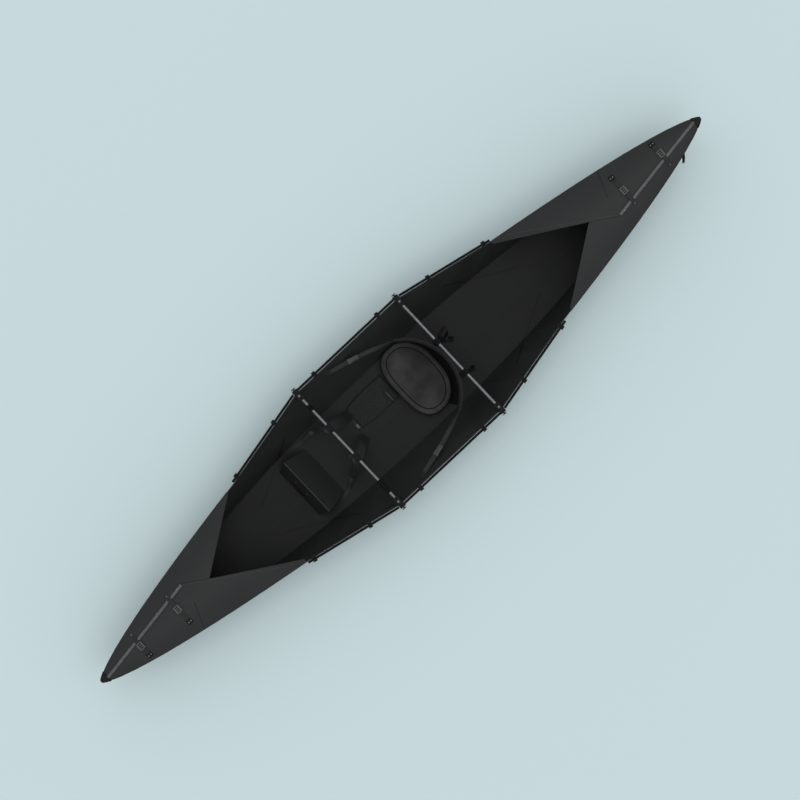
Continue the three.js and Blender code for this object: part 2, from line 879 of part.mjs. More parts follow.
function crossbars() {
  const half = sheetHalfBeam - fitting.inner + fitting.socketDepth - restGap;
  return Object.values(ends).flatMap((end) => {
    const x = end.sign * barReach;
    const tubePiece = rod(point(x, -half, barHeight()), point(x, half, barHeight()), bar.radius, bar.sides);
    return [
      piece(`crossbar_${end.name}`, tubePiece, finishes.tube),
      ...bothSides((side, sideName) => [
        piece(`bar_fitting_${end.name}_${sideName}`, onSide(barFitting(x), side), finishes.moulded),
        piece(`bar_knob_${end.name}_${sideName}`, onSide(knobSolid(x), side), finishes.knob),
      ]),
    ];
  });
}

// Seat

function padOutline(inset) {
  const width = seatPad.halfWidth - inset;
  const depth = seatPad.halfDepth - inset;
  return Array.from({ length: seatPad.points }, (_, i) => {
    const angle = (2 * Math.PI * (i + 0.5)) / seatPad.points;
    const round = 2 / seatPad.squareness;
    const u = Math.sign(Math.cos(angle)) * Math.abs(Math.cos(angle)) ** round;
    const v = Math.sign(Math.sin(angle)) * Math.abs(Math.sin(angle)) ** round;
    const taper = 1 - seatPad.rearTaperShare * Math.max(0, -u) ** seatPad.rearTaperPower;
    return [seatPad.centreX + depth * u, seatPad.centreY + width * v * taper];
  });
}

function seatCushion() {
  const { centreY, halfWidth, height, crownInset } = seatPad;
  const widest = Math.abs(centreY) + halfWidth - crownInset * seatPadLevelShares[0][1];
  const base = floorTop(widest) + restGap;
  return loft(seatPadLevelShares.map(([heightShare, insetShare]) => (
    padOutline(crownInset * insetShare).map(([x, y]) => point(x, y, base + height * heightShare))
  )));
}

const backrestAngle = Math.asin(backrest.halfWidth / backrest.radius);
const backrestCentreX = -barReach + bar.radius + backrest.barGap + backrest.thickness / 2 + backrest.radius;

// Share of the way out to the wings at a share of the band's length.
const wingShare = (share) => (2 * share - 1) ** 2;
const backrestTop = (share) => backrest.top - backrest.wingDrop * wingShare(share);
const backrestHeight = (share) => lerp(backrest.height, backrest.wingHeight, wingShare(share));

function backrestCurve() {
  const points = Array.from({ length: backrest.steps + 1 }, (_, i) => {
    const share = i / backrest.steps;
    const angle = lerp(-backrestAngle, backrestAngle, share);
    return point(
      backrestCentreX - backrest.radius * Math.cos(angle),
      backrest.radius * Math.sin(angle),
      backrestTop(share) - backrestHeight(share) / 2,
    );
  });
  return new THREE.CatmullRomCurve3(points);
}

function backrestSolid(growth = 0) {
  const section = (share) => padSection(backrestHeight(share), backrest.thickness + 2 * growth);
  return band(backrestCurve(), 0, 1, backrest.steps, () => point(0, 0, 1), section);
}

// The strip that joins a loop's underside to the backrest's rear face, which slants away from the bar.
function hangerLug(y, inner, outer) {
  const angle = Math.asin(y / backrest.radius);
  const middleX = (at) => (
    backrestCentreX - (backrest.radius - at * Math.sin(angle)) / Math.cos(angle)
  );
  const edges = [y - hangerLoop.width / 2, y + hangerLoop.width / 2];
  const strip = loft([barHeight() - outer, barHeight() - inner].map((z) => [
    point(-barReach, edges[0], z),
    point(middleX(edges[0]), edges[0], z),
    point(middleX(edges[1]), edges[1], z),
    point(-barReach, edges[1], z),
  ]));
  return cut(strip, backrestSolid(hangerLoop.seatGap));
}

// A webbing loop round the stern crossbar, sewn to the backrest, its tail hanging behind the bar.
function hangerLoopSolid(y) {
  const { width, thickness, gap, tail } = hangerLoop;
  const inner = bar.radius + gap;
  const outer = inner + thickness;
  const profile = [[inner, -1], [outer, -1], [outer, 1], [inner, 1], [inner, -1]];
  const outline = profile.map(([r, edge]) => new THREE.Vector2(r, (edge * width) / 2));
  const ring = new THREE.LatheGeometry(outline, hangerLoop.sides).translate(-barReach, y, barHeight());
  const strip = block(
    point(-barReach - outer, y - width / 2, barHeight() - tail),
    point(-barReach - inner - gap, y + width / 2, barHeight()),
  );
  return join(ring, strip, hangerLug(y, inner, outer));
}

// Each side strap runs from a wing of the backrest, turning from upright to flat, and ends under a
// tab inside the gunwale.
function strapAnchorPlace(x) {
  const height = sheerHeight(x) - seatStrap.anchorBelowGunwale;
  const { inner } = hullSection(x);
  return { height, face: atHeight(inner[2], inner[3], height).x };
}

function strapAnchorSolid() {
  const { length, reach, thickness, gap } = strapAnchor;
  const x = seatStrap.anchorX;
  const { inner } = hullSection(x);
  const wall = shifted(inner[2], inner[3], gap);
  const { height, face } = strapAnchorPlace(x);
  return prism([
    new THREE.Vector2(face - reach, height - thickness / 2),
    atHeight(...wall, height - thickness / 2),
    atHeight(...wall, height + thickness / 2),
    new THREE.Vector2(face - reach, height + thickness / 2),
  ], x - length / 2, x + length / 2);
}

function seatStrapCurve() {
  const wing = backrestCurve();
  const start = wing.getPoint(1).addScaledVector(wing.getTangent(1), seatStrap.wingGap);
  const { height, face } = strapAnchorPlace(seatStrap.anchorX);
  const under = height - (strapAnchor.thickness + seatStrap.thickness) / 2 - strapAnchor.strapGap;
  const stop = point(seatStrap.anchorX, face - strapAnchor.reach + seatStrap.width / 2, under);
  const middle = start.clone().lerp(stop, seatStrap.middleShare);
  middle.y += seatStrap.bow;
  middle.z -= seatStrap.sag;
  return new THREE.CatmullRomCurve3([start, middle, stop]);
}

const strapTurn = (share) => point(0, 0, 1).lerp(point(0, 1, 0), clamp(share / seatStrap.turnShare, 0, 1));

function seatStrapSolid() {
  const section = () => flatSection(seatStrap.width, seatStrap.thickness);
  return band(seatStrapCurve(), 0, 1, seatStrap.steps, strapTurn, section);
}

function seatBuckleSolid() {
  const { startShare, endShare, width, waistWidth, thickness, gap, steps } = seatBuckle;
  const middleShare = (startShare + endShare) / 2;
  const flareShare = (share) => Math.abs(share - middleShare) / (endShare - middleShare);
  const shell = (share) => padSection(lerp(waistWidth, width, flareShare(share)), thickness);
  const tunnel = () => flatSection(seatStrap.width + 2 * gap, seatStrap.thickness + 2 * gap);
  const overrunShare = (endShare - startShare) / steps;
  const curve = seatStrapCurve();
  return cut(
    band(curve, startShare, endShare, steps, strapTurn, shell),
    band(curve, startShare - overrunShare, endShare + overrunShare, steps + 2, strapTurn, tunnel),
  );
}

function seat() {
  const { centreY, halfSpacing } = hangerLoop;
  return [
    piece('seat_pad', seatCushion(), finishes.cushion),
    piece('backrest', backrestSolid(), finishes.cushion),
    ...bothSides((side, sideName) => [
      piece(`hanger_loop_${sideName}`, hangerLoopSolid(centreY + side * halfSpacing), finishes.webbing),
      piece(`seat_strap_${sideName}`, onSide(seatStrapSolid(), side), finishes.webbing),
      piece(`seat_buckle_${sideName}`, onSide(seatBuckleSolid(), side), finishes.buckle),
      piece(`strap_anchor_${sideName}`, onSide(strapAnchorSolid(), side), finishes.moulded),
    ]),
  ];
}

// Carrying harness

// The panel's width at a share of its length, as a share of its half width.
function harnessWidthShare(share) {
  return lerp(harness.rearShare, 1, Math.sin(Math.PI * Math.min(share, 0.5)))
    - harness.frontTaperShare * Math.max(0, 2 * share - 1) ** 2;
}

function harnessTop(y, share) {
  const out = Math.abs(y - harness.centreY) / (harness.halfWidth * harnessWidthShare(share));
  const round = clamp((1 - out) / harness.edgeShare, 0, 1);
  return floorTop(y) + restGap + lerp(harness.edgeThickness, harness.thickness, round);
}

const harnessRearX = seatPad.centreX + seatPad.halfDepth + harness.padGap;

function harnessPanelSolid() {
  return loft(harnessAlongShares.map((share) => {
    const x = lerp(harnessRearX, harness.frontX, share);
    const half = harness.halfWidth * harnessWidthShare(share);
    const places = harnessAcrossShares.map((v) => harness.centreY + v * half);
    const low = places.map((y) => point(x, y, floorTop(y) + restGap));
    const high = places.map((y) => point(x, y, harnessTop(y, share)));
    return [...low, ...high.reverse()];
  }));
}

function harnessHandleSolid() {
  const { x, centreY, span, rise, legShare, footGap, radius } = harnessHandle;
  const share = (x - harnessRearX) / (harness.frontX - harnessRearX);
  const [near, far] = [centreY - span / 2 + radius, centreY + span / 2 - radius];
  const footNear = harnessTop(near - radius, share) + footGap;
  // The far leg stands by the panel's sloping border, so its foot clears the border's higher side.
  const footFar = harnessTop(far - radius, share) + footGap;
  const crest = (footNear + footFar) / 2 + rise;
  const bend = radius * 2;
  const curve = new THREE.CatmullRomCurve3([
    point(x, near, footNear),
    point(x, near, lerp(footNear, crest, legShare)),
    point(x, near + bend, crest),
    point(x, centreY, crest + radius / 2),
    point(x, far - bend, crest),
    point(x, far, lerp(footFar, crest, legShare)),
    point(x, far, footFar),
  ]);
  return tube(curve, radius, harnessHandle.sides, harnessHandle.steps);
}

// Each shoulder pad climbs from the panel, lies over the bow crossbar and drops to its webbing.
function shoulderCurve({ root, bar: barY, end }) {
  const radius = bar.radius + shoulderPad.thickness / 2 + shoulderPad.barGap;
  const over = barWrapDegrees.map((degrees) => {
    const angle = THREE.MathUtils.degToRad(degrees);
    return point(barReach + radius * Math.cos(angle), barY, barHeight() + radius * Math.sin(angle));
  });
  const { kneeShare, dropShare } = shoulderRun;
  return new THREE.CatmullRomCurve3([
    point(root[0], root[1], shoulderHeights.root),
    point(root[0] + shoulderRun.rootLead, lerp(root[1], barY, shoulderRun.leadShare), shoulderHeights.low),
    point(barReach - shoulderRun.kneeBack, lerp(root[1], barY, kneeShare), shoulderHeights.knee),
    ...over,
    point(barReach + shoulderRun.dropAhead, lerp(barY, end[1], dropShare), shoulderHeights.drop),
    point(end[0], end[1], shoulderHeights.end),
  ]);
}

const acrossHull = () => point(0, 1, 0);

const shoulderWidth = (share) => lerp(shoulderPad.width, shoulderPad.endWidth, share);

function shoulderPadSolid(route) {
  const section = (share) => padSection(shoulderWidth(share), shoulderPad.thickness);
  return band(shoulderCurve(route), 0, 1, shoulderPad.steps, acrossHull, section);
}

function webCurve(route) {
  const padEnd = shoulderCurve(route);
  const heading = padEnd.getTangent(1);
  const start = padEnd.getPoint(1).addScaledVector(heading, shoulderWeb.padGap);
  const lead = start.clone().addScaledVector(heading, shoulderWeb.lead);
  const lie = restGap + shoulderWeb.thickness / 2;
  const floorAt = (y) => floorTop(Math.abs(y) + shoulderWeb.width / 2) + lie;
  const [x, y] = route.anchor;
  const landing = point(x - shoulderWeb.landing, lerp(start.y, y, shoulderWeb.landingShare), 0);
  landing.z = floorAt(landing.y) + shoulderWeb.landingRise;
  const middle = lead.clone().lerp(landing, 1 / 2);
  return new THREE.CatmullRomCurve3([start, lead, middle, landing, point(x, y, floorAt(y))]);
}

function shoulderWebSolid(route) {
  const section = () => flatSection(shoulderWeb.width, shoulderWeb.thickness);
  return band(webCurve(route), 0, 1, shoulderWeb.steps, acrossHull, section);
}

function ladderLockSolid(route) {
  const { startShare, endShare, width, thickness, gap, steps } = ladderLock;
  const overrunShare = (endShare - startShare) / steps / 2;
  const shell = () => padSection(width, thickness);
  const tunnel = () => flatSection(shoulderWeb.width + 2 * gap, shoulderWeb.thickness + 2 * gap);
  const curve = webCurve(route);
  return cut(
    band(curve, startShare, endShare, steps, acrossHull, shell),
    band(curve, startShare - overrunShare, endShare + overrunShare, steps + 2, acrossHull, tunnel),
  );
}

// A chest strap half: webbing that ends in its half of the buckle.
function sternumSolid(curve) {
  const { width, thickness, buckleShare, buckleWidth, buckleThickness, steps } = sternum;
  const alongHull = () => point(1, 0, 0);
  const overlapShare = 1 / steps;
  const webbing = () => flatSection(width, thickness);
  const buckle = () => padSection(buckleWidth, buckleThickness);
  return join(
    band(curve, 0, buckleShare + overlapShare, steps, alongHull, webbing),
    band(curve, buckleShare, 1, steps, alongHull, buckle),
  );
}

// The starboard half lies on the floor beside its shoulder strap.
function sternumStarboardCurve() {
  const { root } = shoulderRoutes.starboard;
  const x = harness.frontX + sternum.buckleWidth / 2 + sternum.gap;
  const start = root[1] + shoulderPad.width / 2 + sternum.gap;
  const places = [start, start + sternum.length / 2, start + sternum.length];
  return new THREE.CatmullRomCurve3(places.map((y) => (
    point(x, y, floorTop(y) + restGap + sternum.buckleThickness / 2)
  )));
}

// The port half hangs from the inner edge of its shoulder strap.
function sternumPortCurve() {
  const { rootShare, gap, thickness, swing, hang } = sternum;
  const root = shoulderCurve(shoulderRoutes.port).getPoint(rootShare);
  const y = root.y - shoulderWidth(rootShare) / 2 - gap - thickness / 2;
  return new THREE.CatmullRomCurve3([
    point(root.x, y, root.z),
    point(root.x + thickness, y - swing / 2, root.z - hang / 2),
    point(root.x, y - swing, root.z - hang),
  ]);
}

function harnessPieces() {
  const routes = Object.entries(shoulderRoutes);
  return [
    piece('harness_panel', harnessPanelSolid(), finishes.cushion),
    piece('harness_handle', harnessHandleSolid(), finishes.webbing),
    ...routes.flatMap(([sideName, route]) => [
      piece(`shoulder_pad_${sideName}`, shoulderPadSolid(route), finishes.cushion),
      piece(`shoulder_webbing_${sideName}`, shoulderWebSolid(route), finishes.webbing),
      piece(`ladder_lock_${sideName}`, ladderLockSolid(route), finishes.buckle),
    ]),
    piece('sternum_strap_starboard', sternumSolid(sternumStarboardCurve()), finishes.webbing),
    piece('sternum_strap_port', sternumSolid(sternumPortCurve()), finishes.webbing),
  ];
}

// Foot brace: one sheet bent over a ridge, standing on the floor, with a pull on its far face

const footBase = floorTop(footBrace.nearHalfWidth + Math.abs(footBrace.centreY)) + restGap;
const footLine = [
  new THREE.Vector2(footBrace.nearX, footBase),
  new THREE.Vector2(footBrace.topX, footBrace.topHeight),
  new THREE.Vector2(footBrace.farX, footBase),
];

function footBraceSolid() {
  const inner = offsetLine(footLine, -sheetThickness);
  inner[0] = atHeight(inner[0], inner[1], footBase);
  inner[2] = atHeight(inner[1], inner[2], footBase);
  const outline = [...footLine, ...inner.reverse()];
  const halfAt = (z) => lerp(
    footBrace.nearHalfWidth,
    footBrace.topHalfWidth,
    (z - footBase) / (footBrace.topHeight - footBase),
  );
  return loft([-1, 1].map((side) => (
    outline.map((p) => point(p.x, footBrace.centreY + side * halfAt(p.y), p.y))
  )));
}

function footPullSolid() {
  const { centreY, span, fromTop, drop, radius } = footPull;
  const [, top, foot] = footLine;
  const down = new THREE.Vector2().subVectors(foot, top).normalize();
  const out = new THREE.Vector2(-down.y, down.x);
  const curve = new THREE.CatmullRomCurve3(footPullShares.map(([acrossShare, dropShare]) => {
    const p = top.clone().addScaledVector(down, fromTop + dropShare * drop);
    p.addScaledVector(out, radius + restGap);
    return point(p.x, centreY + (acrossShare * span) / 2, p.y);
  }));
  return tube(curve, radius, footPull.sides, footPull.steps);
}

function footRest() {
  return [
    piece('foot_brace', footBraceSolid(), finishes.sheet),
    piece('foot_brace_pull', footPullSolid(), finishes.webbing),
  ];
}

// Deck straps: webbing from a riveted anchor on the over flap, through a ladder buckle and over the
// seam rail to a stud on the under flap.

// A level is a place across the deck with its height above one of the flaps.
const aboveOver = (b, lift) => ({ b, lift, surface: overTop });
const aboveUnder = (b, lift) => ({ b, lift, surface: underTop });

// The levels with more between each two on the same flap, so that a piece follows its curve.
function closeLevels(levels) {
  return levels.flatMap((level, i) => {
    const next = levels[i + 1];
    if (next === undefined || next.surface !== level.surface) return [level];
    const count = Math.ceil(Math.abs(next.b - level.b) / deckStrap.step);
    return Array.from({ length: count }, (_, k) => ({
      b: lerp(level.b, next.b, k / count),
      lift: lerp(level.lift, next.lift, k / count),
      surface: level.surface,
    }));
  });
}

// A band across the deck that follows the flaps between two heights above its levels.
function draped(end, a, width, levels, low, high) {
  return loft(closeLevels(levels).map(({ b, lift, surface }) => {
    const near = surface(end, a - width / 2, b) + lift;
    const far = surface(end, a + width / 2, b) + lift;
    return [
      atEnd(end, a - width / 2, b, near + low),
      atEnd(end, a + width / 2, b, far + low),
      atEnd(end, a + width / 2, b, far + high),
      atEnd(end, a - width / 2, b, near + high),
    ];
  }));
}

function strapLevels(end, a, { anchor, buckle, stud }) {
  const { clear, buckleLift, railClear, slack, anchorOut, width, studLength } = deckStrap;
  const railTop = seamRail.seatGap + seamRail.plate + seamRail.crown + railClear;
  // The seam slants across the strap, so the strap clears it at both of its edges.
  const seams = [a - width / 2, a + width / 2].map((at) => seamAt(end, at));
  const inner = Math.max(...seams) + seamRail.inward + slack / 2;
  const outer = Math.min(...seams) - seamRail.outward - railClear;
  const half = deckBuckle.length / 2;
  return [
    aboveOver(anchor + anchorOut, clear),
    aboveOver(buckle + half + slack, clear),
    aboveOver(buckle + half, buckleLift),
    aboveOver(buckle - half, buckleLift),
    aboveOver(Math.min(buckle - half - railClear, inner), railTop),
    aboveOver(outer, railTop),
    aboveUnder(outer - slack, clear + railClear),
    aboveUnder(Math.min(stud, outer - slack) - studLength / 2, clear),
  ];
}

function deckStrapSolid(end, place) {
  const a = end.reach - place.fromTip;
  const { clear, thickness, anchorOut, anchorLength, anchorWidth, anchorHeight, studLength } = deckStrap;
  const levels = strapLevels(end, a, place);
  const outerEdge = place.anchor + anchorOut;
  const plateLevels = [aboveOver(outerEdge, clear), aboveOver(outerEdge - anchorLength, clear)];
  const studEnd = levels.at(-1).b;
  const studLevels = [aboveUnder(studEnd + studLength, clear), aboveUnder(studEnd, clear)];
  return join(
    draped(end, a, deckStrap.width, levels, 0, thickness),
    draped(end, a, anchorWidth, plateLevels, 0, anchorHeight),
    draped(end, a, studLength, studLevels, 0, anchorHeight),
  );
}

function deckBuckleSolid(end, place) {
  const a = end.reach - place.fromTip;
  const { length, width, height, base, gap, window, bridge } = deckBuckle;
  const { buckleLift, thickness } = deckStrap;
  const span = (from, to) => [aboveOver(from, 0), aboveOver(to, 0)];
  const middle = place.buckle;
  const [first, last] = [middle + length / 2, middle - length / 2];
  const body = draped(end, a, width, span(first, last), base, height);
  const tunnelWidth = deckStrap.width + 2 * gap;
  const tunnelSpan = span(first + cutOverrun, last - cutOverrun);
  const tunnel = draped(end, a, tunnelWidth, tunnelSpan, buckleLift - gap, buckleLift + thickness + gap);
  const windows = [middle - window - bridge, middle, middle + window + bridge].map((b) => (
    draped(
      end,
      a,
      deckStrap.width - bridge,
      span(b + window / 2, b - window / 2),
      buckleLift + thickness,
      height + cutOverrun,
    )
  ));
  return cut(body, tunnel, ...windows);
}

function deckPieces(end) {
  const name = end.name;
  return [
    piece(`deck_flap_over_${name}`, overFlap(end), finishes.sheet),
    piece(`deck_flap_under_${name}`, underFlap(end), finishes.sheet),
    piece(`seam_rail_${name}`, seamRailSolid(end), finishes.seam),
    piece(`end_cap_${name}`, endCap(end), finishes.cap),
    ...Object.entries(deckStrapPlaces).flatMap(([row, place]) => [
      piece(`deck_strap_${name}_${row}`, deckStrapSolid(end, place), finishes.webbing),
      piece(`deck_buckle_${name}_${row}`, deckBuckleSolid(end, place), finishes.buckle),
    ]),
  ];
}

// The side panel's outer face between its stations, as the panel itself is built.
function sideFace(x, z) {
  const stations = hullStations();
  const next = stations.findIndex((station) => station >= x);
  const [before, after] = [stations[next - 1], stations[next]];
  const share = (x - before) / (after - before);
  const lines = [before, after].map((station) => hullSection(station).outer);
  const [chine, sheer] = [2, 3].map((k) => lines[0][k].clone().lerp(lines[1][k], share));
  return atHeight(chine, sheer, z).x;
}

// The carry tab stands out from the side panel and droops.
function carryTabSolid() {
  const { fromTip, below, outward, drop, skew, width, thickness } = carryTab;
  const x = -(sternReach - fromTip);
  const z = sheerHeight(x) - below;
  return loft(carryTabShares.map(([outShare, dropShare]) => {
    const corners = [[-1, -1], [1, -1], [1, 1], [-1, 1]];
    return corners.map(([along, up]) => {
      const [dx, dz] = [(along * width) / 2, (up * thickness) / 2];
      const foot = sideFace(x + dx, z + dz) + restGap;
      return point(x + dx + skew * outShare, foot + outward * outShare, z + dz - drop * dropShare);
    });
  }));
}

function hullPanels() {
  return [
    ...bothSides((side, sideName) => [
      piece(`floor_panel_${sideName}`, floorPanel(side), finishes.sheet),
      piece(`side_panel_${sideName}`, sidePanel(side), finishes.sheet),
    ]),
    piece('carry_tab_stern', carryTabSolid(), finishes.webbing),
  ];
}

function kayak() {
  const group = new THREE.Group();
  group.add(
    ...hullPanels(),
    ...gunwaleRails(),
    ...crossbars(),
    ...Object.values(ends).flatMap(deckPieces),
    ...seat(),
    ...harnessPieces(),
    ...footRest(),
  );
  group.position.x = cockpitAheadOfMiddle;
  return group;
}

export default kayak();
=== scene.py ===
"""The folding kayak as it looks: soft parts, trim, finishes, light and camera."""

import logging
import math
from collections.abc import Callable, Sequence
from dataclasses import dataclass, field
from enum import Enum
from typing import Protocol

import bmesh
import bpy
from mathutils import Matrix, Vector
from mathutils.bvhtree import BVHTree
from mathutils.kdtree import KDTree


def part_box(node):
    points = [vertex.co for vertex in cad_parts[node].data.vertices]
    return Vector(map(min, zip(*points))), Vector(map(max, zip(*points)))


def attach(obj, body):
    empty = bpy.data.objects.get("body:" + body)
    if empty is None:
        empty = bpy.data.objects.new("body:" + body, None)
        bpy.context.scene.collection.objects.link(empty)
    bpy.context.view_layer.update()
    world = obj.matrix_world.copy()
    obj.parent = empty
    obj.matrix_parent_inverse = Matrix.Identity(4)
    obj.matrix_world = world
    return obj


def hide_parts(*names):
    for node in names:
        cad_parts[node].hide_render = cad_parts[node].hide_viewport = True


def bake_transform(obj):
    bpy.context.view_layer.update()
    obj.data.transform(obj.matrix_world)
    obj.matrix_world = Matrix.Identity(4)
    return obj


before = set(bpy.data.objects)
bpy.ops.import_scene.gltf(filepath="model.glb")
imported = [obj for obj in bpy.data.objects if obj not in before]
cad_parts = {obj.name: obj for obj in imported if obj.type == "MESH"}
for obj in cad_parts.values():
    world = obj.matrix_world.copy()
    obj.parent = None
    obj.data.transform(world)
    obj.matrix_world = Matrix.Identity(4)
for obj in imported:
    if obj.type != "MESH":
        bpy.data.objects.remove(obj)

LOG = logging.getLogger("kayak")

Pair = tuple[float, float]
Triple = tuple[float, float, float]
Colour = tuple[float, float, float, float]
Socket = bpy.types.NodeSocket
Section = list[Pair]

HULL = "hull"
FLOOR = ("floor_panel_port", "floor_panel_starboard")
WALLS = ("side_panel_port", "side_panel_starboard")
LAPS = ("over", "under")

BOW_BAR_X = 0.405
STERN_BAR_X = -0.377
BAR_RADIUS = 0.010
BAR_HEIGHT = 0.300
REST_GAP = 0.0004
STATION_GRID = 0.002
ROUND_DEGREES = 80.0
SOFT_DEGREES = 60.0

UP = Vector((0.0, 0.0, 1.0))
ACROSS = Vector((0.0, 1.0, 0.0))
ALONG = Vector((1.0, 0.0, 0.0))


class Slot(Enum):
    """Names of material slots; each new piece is handed one, which nothing reads."""

    SHEET = "sheet"
    CAP = "cap"
    KNOB = "knob"
    CUSHION = "cushion"
    WEBBING = "webbing"
    BUCKLE = "buckle"


class Direction(Enum):
    """A part of the hull that stands in node names, with the sign of its axis."""

    @property
    def word(self) -> str:
        """Its name in node names."""
        return self.name.lower()


class Side(Direction):
    """The two sides of the hull, with the sign of Y there."""

    PORT = 1
    STARBOARD = -1


class End(Direction):
    """The two ends of the hull, with the sign of X there."""

    BOW = 1
    STERN = -1


def linear(code: int) -> Colour:
    """The linear colour of a six-digit sRGB code."""
    shares = [((code >> shift) & 0xFF) / 0xFF for shift in (16, 8, 0)]
    toe, slope, lift, power = 0.04045, 12.92, 0.055, 2.4
    red, green, blue = (
        share / slope if share <= toe else ((share + lift) / (1 + lift)) ** power
        for share in shares
    )
    return (red, green, blue, 1.0)


def mix(low: float, high: float, share: float) -> float:
    """The value at a share of the way from low to high."""
    return low + (high - low) * share


def steps(count: int) -> list[float]:
    """Evenly spaced shares from 0 to 1, both included."""
    return [i / count for i in range(count + 1)]


class Shader:
    """A material's node tree, with short calls for what the finishes need."""

    noise_detail = 3.0

    def __init__(self, name: str, gloss: float, roughness: float, metallic: float = 0.0) -> None:
        """Starts a plain surface.

        Args:
            name: The material's name.
            gloss: The strength of its reflections.
            roughness: How matt the surface is.
            metallic: 1 for a bare metal.
        """
        self.material = bpy.data.materials.new(name)
        self.material.use_nodes = True
        self.nodes = self.material.node_tree.nodes
        self.links = self.material.node_tree.links
        self.surface = self.nodes["Principled BSDF"]
        self.fix("Specular IOR Level", gloss)
        self.fix("Roughness", roughness)
        self.fix("Metallic", metallic)

    def fix(self, name: str, value: float | Colour) -> None:
        """Sets one of the surface's own values."""
        self.surface.inputs[name].default_value = value

    def feed(self, name: str, source: Socket) -> None:
        """Drives one of the surface's values."""
        self.links.new(source, self.surface.inputs[name])

    def node(self, kind: str, values: dict, **settings: object) -> bpy.types.Node:
        """Adds a node.

        Args:
            kind: The node's type, without its common first word.
            values: Its inputs by name or number, each a number, a colour or a socket.
            settings: Its other options.

        Returns:
            The new node.
        """
        made = self.nodes.new(f"ShaderNode{kind}")
        for key, value in settings.items():
            setattr(made, key, value)
        for key, value in values.items():
            if isinstance(value, Socket):
                self.links.new(value, made.inputs[key])
            else:
                made.inputs[key].default_value = value
        return made

    def math(self, operation: str, first: Socket | float, second: Socket | float = 0.0) -> Socket:
        """The result of one sum on two values."""
        return self.node("Math", {0: first, 1: second}, operation=operation).outputs[0]

    def product(self, first: Socket, second: Socket | float) -> Socket:
        """Two values multiplied."""
        return self.math("MULTIPLY", first, second)

    def total(self, first: Socket, second: Socket) -> Socket:
        """Two values added."""
        return self.math("ADD", first, second)

    def place(self) -> Socket:
        """The place on the object, in metres."""
        return self.node("TexCoord", {}).outputs["Object"]

    def cloth_place(self) -> Socket:
        """The place on a strap: along it and across it, in metres."""
        return self.node("TexCoord", {}).outputs["UV"]

    def split(self, vector: Socket) -> tuple[Socket, Socket, Socket]:
        """The three numbers of a place."""
        outputs = self.node("SeparateXYZ", {0: vector}).outputs
        return outputs[0], outputs[1], outputs[2]

    def noise(self, vector: Socket, size: float) -> Socket:
        """Soft noise with blotches of a size in metres."""
        values = {"Vector": vector, "Scale": 1 / size, "Detail": self.noise_detail}
        return self.node("TexNoise", values).outputs[0]

    def stretched(self, vector: Socket, scale: Triple) -> Socket:
        """A place stretched by a share along each axis."""
        return self.node("Mapping", {"Vector": vector, "Scale": scale}).outputs[0]

    def ripple(self, value: Socket, pitch: float) -> Socket:
        """A wave of a pitch in metres."""
        return self.math("SINE", self.product(value, math.tau / pitch))

    def spread(self, value: Socket, low: float, high: float, start: float = 0.0) -> Socket:
        """A share from start to 1 spread over a range."""
        values = {0: value, 1: start, 2: 1.0, 3: low, 4: high}
        return self.node("MapRange", values).outputs[0]

    def blend(self, share: Socket, low: Colour | Socket, high: Colour | Socket) -> Socket:
        """A colour between two others."""
        values = {0: share, 6: low, 7: high}
        return self.node("Mix", values, data_type="RGBA").outputs[2]

    def paint(self, share: Socket, low: int, high: int) -> None:
        """Colours the surface between two colour codes."""
        self.feed("Base Color", self.blend(share, linear(low), linear(high)))

    def relief(self, height: Socket) -> None:
        """Gives the surface a relief whose height is in metres."""
        values = {"Height": height, "Strength": 1.0, "Distance": 1.0}
        self.feed("Normal", self.node("Bump", values).outputs[0])


@dataclass(frozen=True)
class Crease:
    """A fold line pressed into a sheet, between two places in plan."""

    start: Pair
    end: Pair
    width: float = 0.007

    def height(self, shader: Shader, x: Socket, y: Socket) -> Socket:
        """The crease's profile.

        Args:
            shader: The material that it is drawn in.
            x: Place along the hull.
            y: Place across the hull.

        Returns:
            1 on the crease's line, falling to 0 at its edges and beyond its ends.
        """
        length = math.dist(self.start, self.end)
        ux = (self.end[0] - self.start[0]) / length
        uy = (self.end[1] - self.start[1]) / length
        dx = shader.math("SUBTRACT", x, self.start[0])
        dy = shader.math("SUBTRACT", y, self.start[1])
        run = shader.total(shader.product(dx, ux), shader.product(dy, uy))
        off = shader.math("SUBTRACT", shader.product(dx, uy), shader.product(dy, ux))
        near = shader.math("DIVIDE", shader.math("ABSOLUTE", off), self.width)
        profile = shader.math("MAXIMUM", shader.math("SUBTRACT", 1.0, near), 0.0)
        begun = shader.math("GREATER_THAN", run, 0.0)
        inside = shader.product(begun, shader.math("LESS_THAN", run, length))
        return shader.product(profile, inside)


class Finish(Protocol):
    """Anything that builds one material."""

    def material(self) -> bpy.types.Material:
        """Builds the material."""


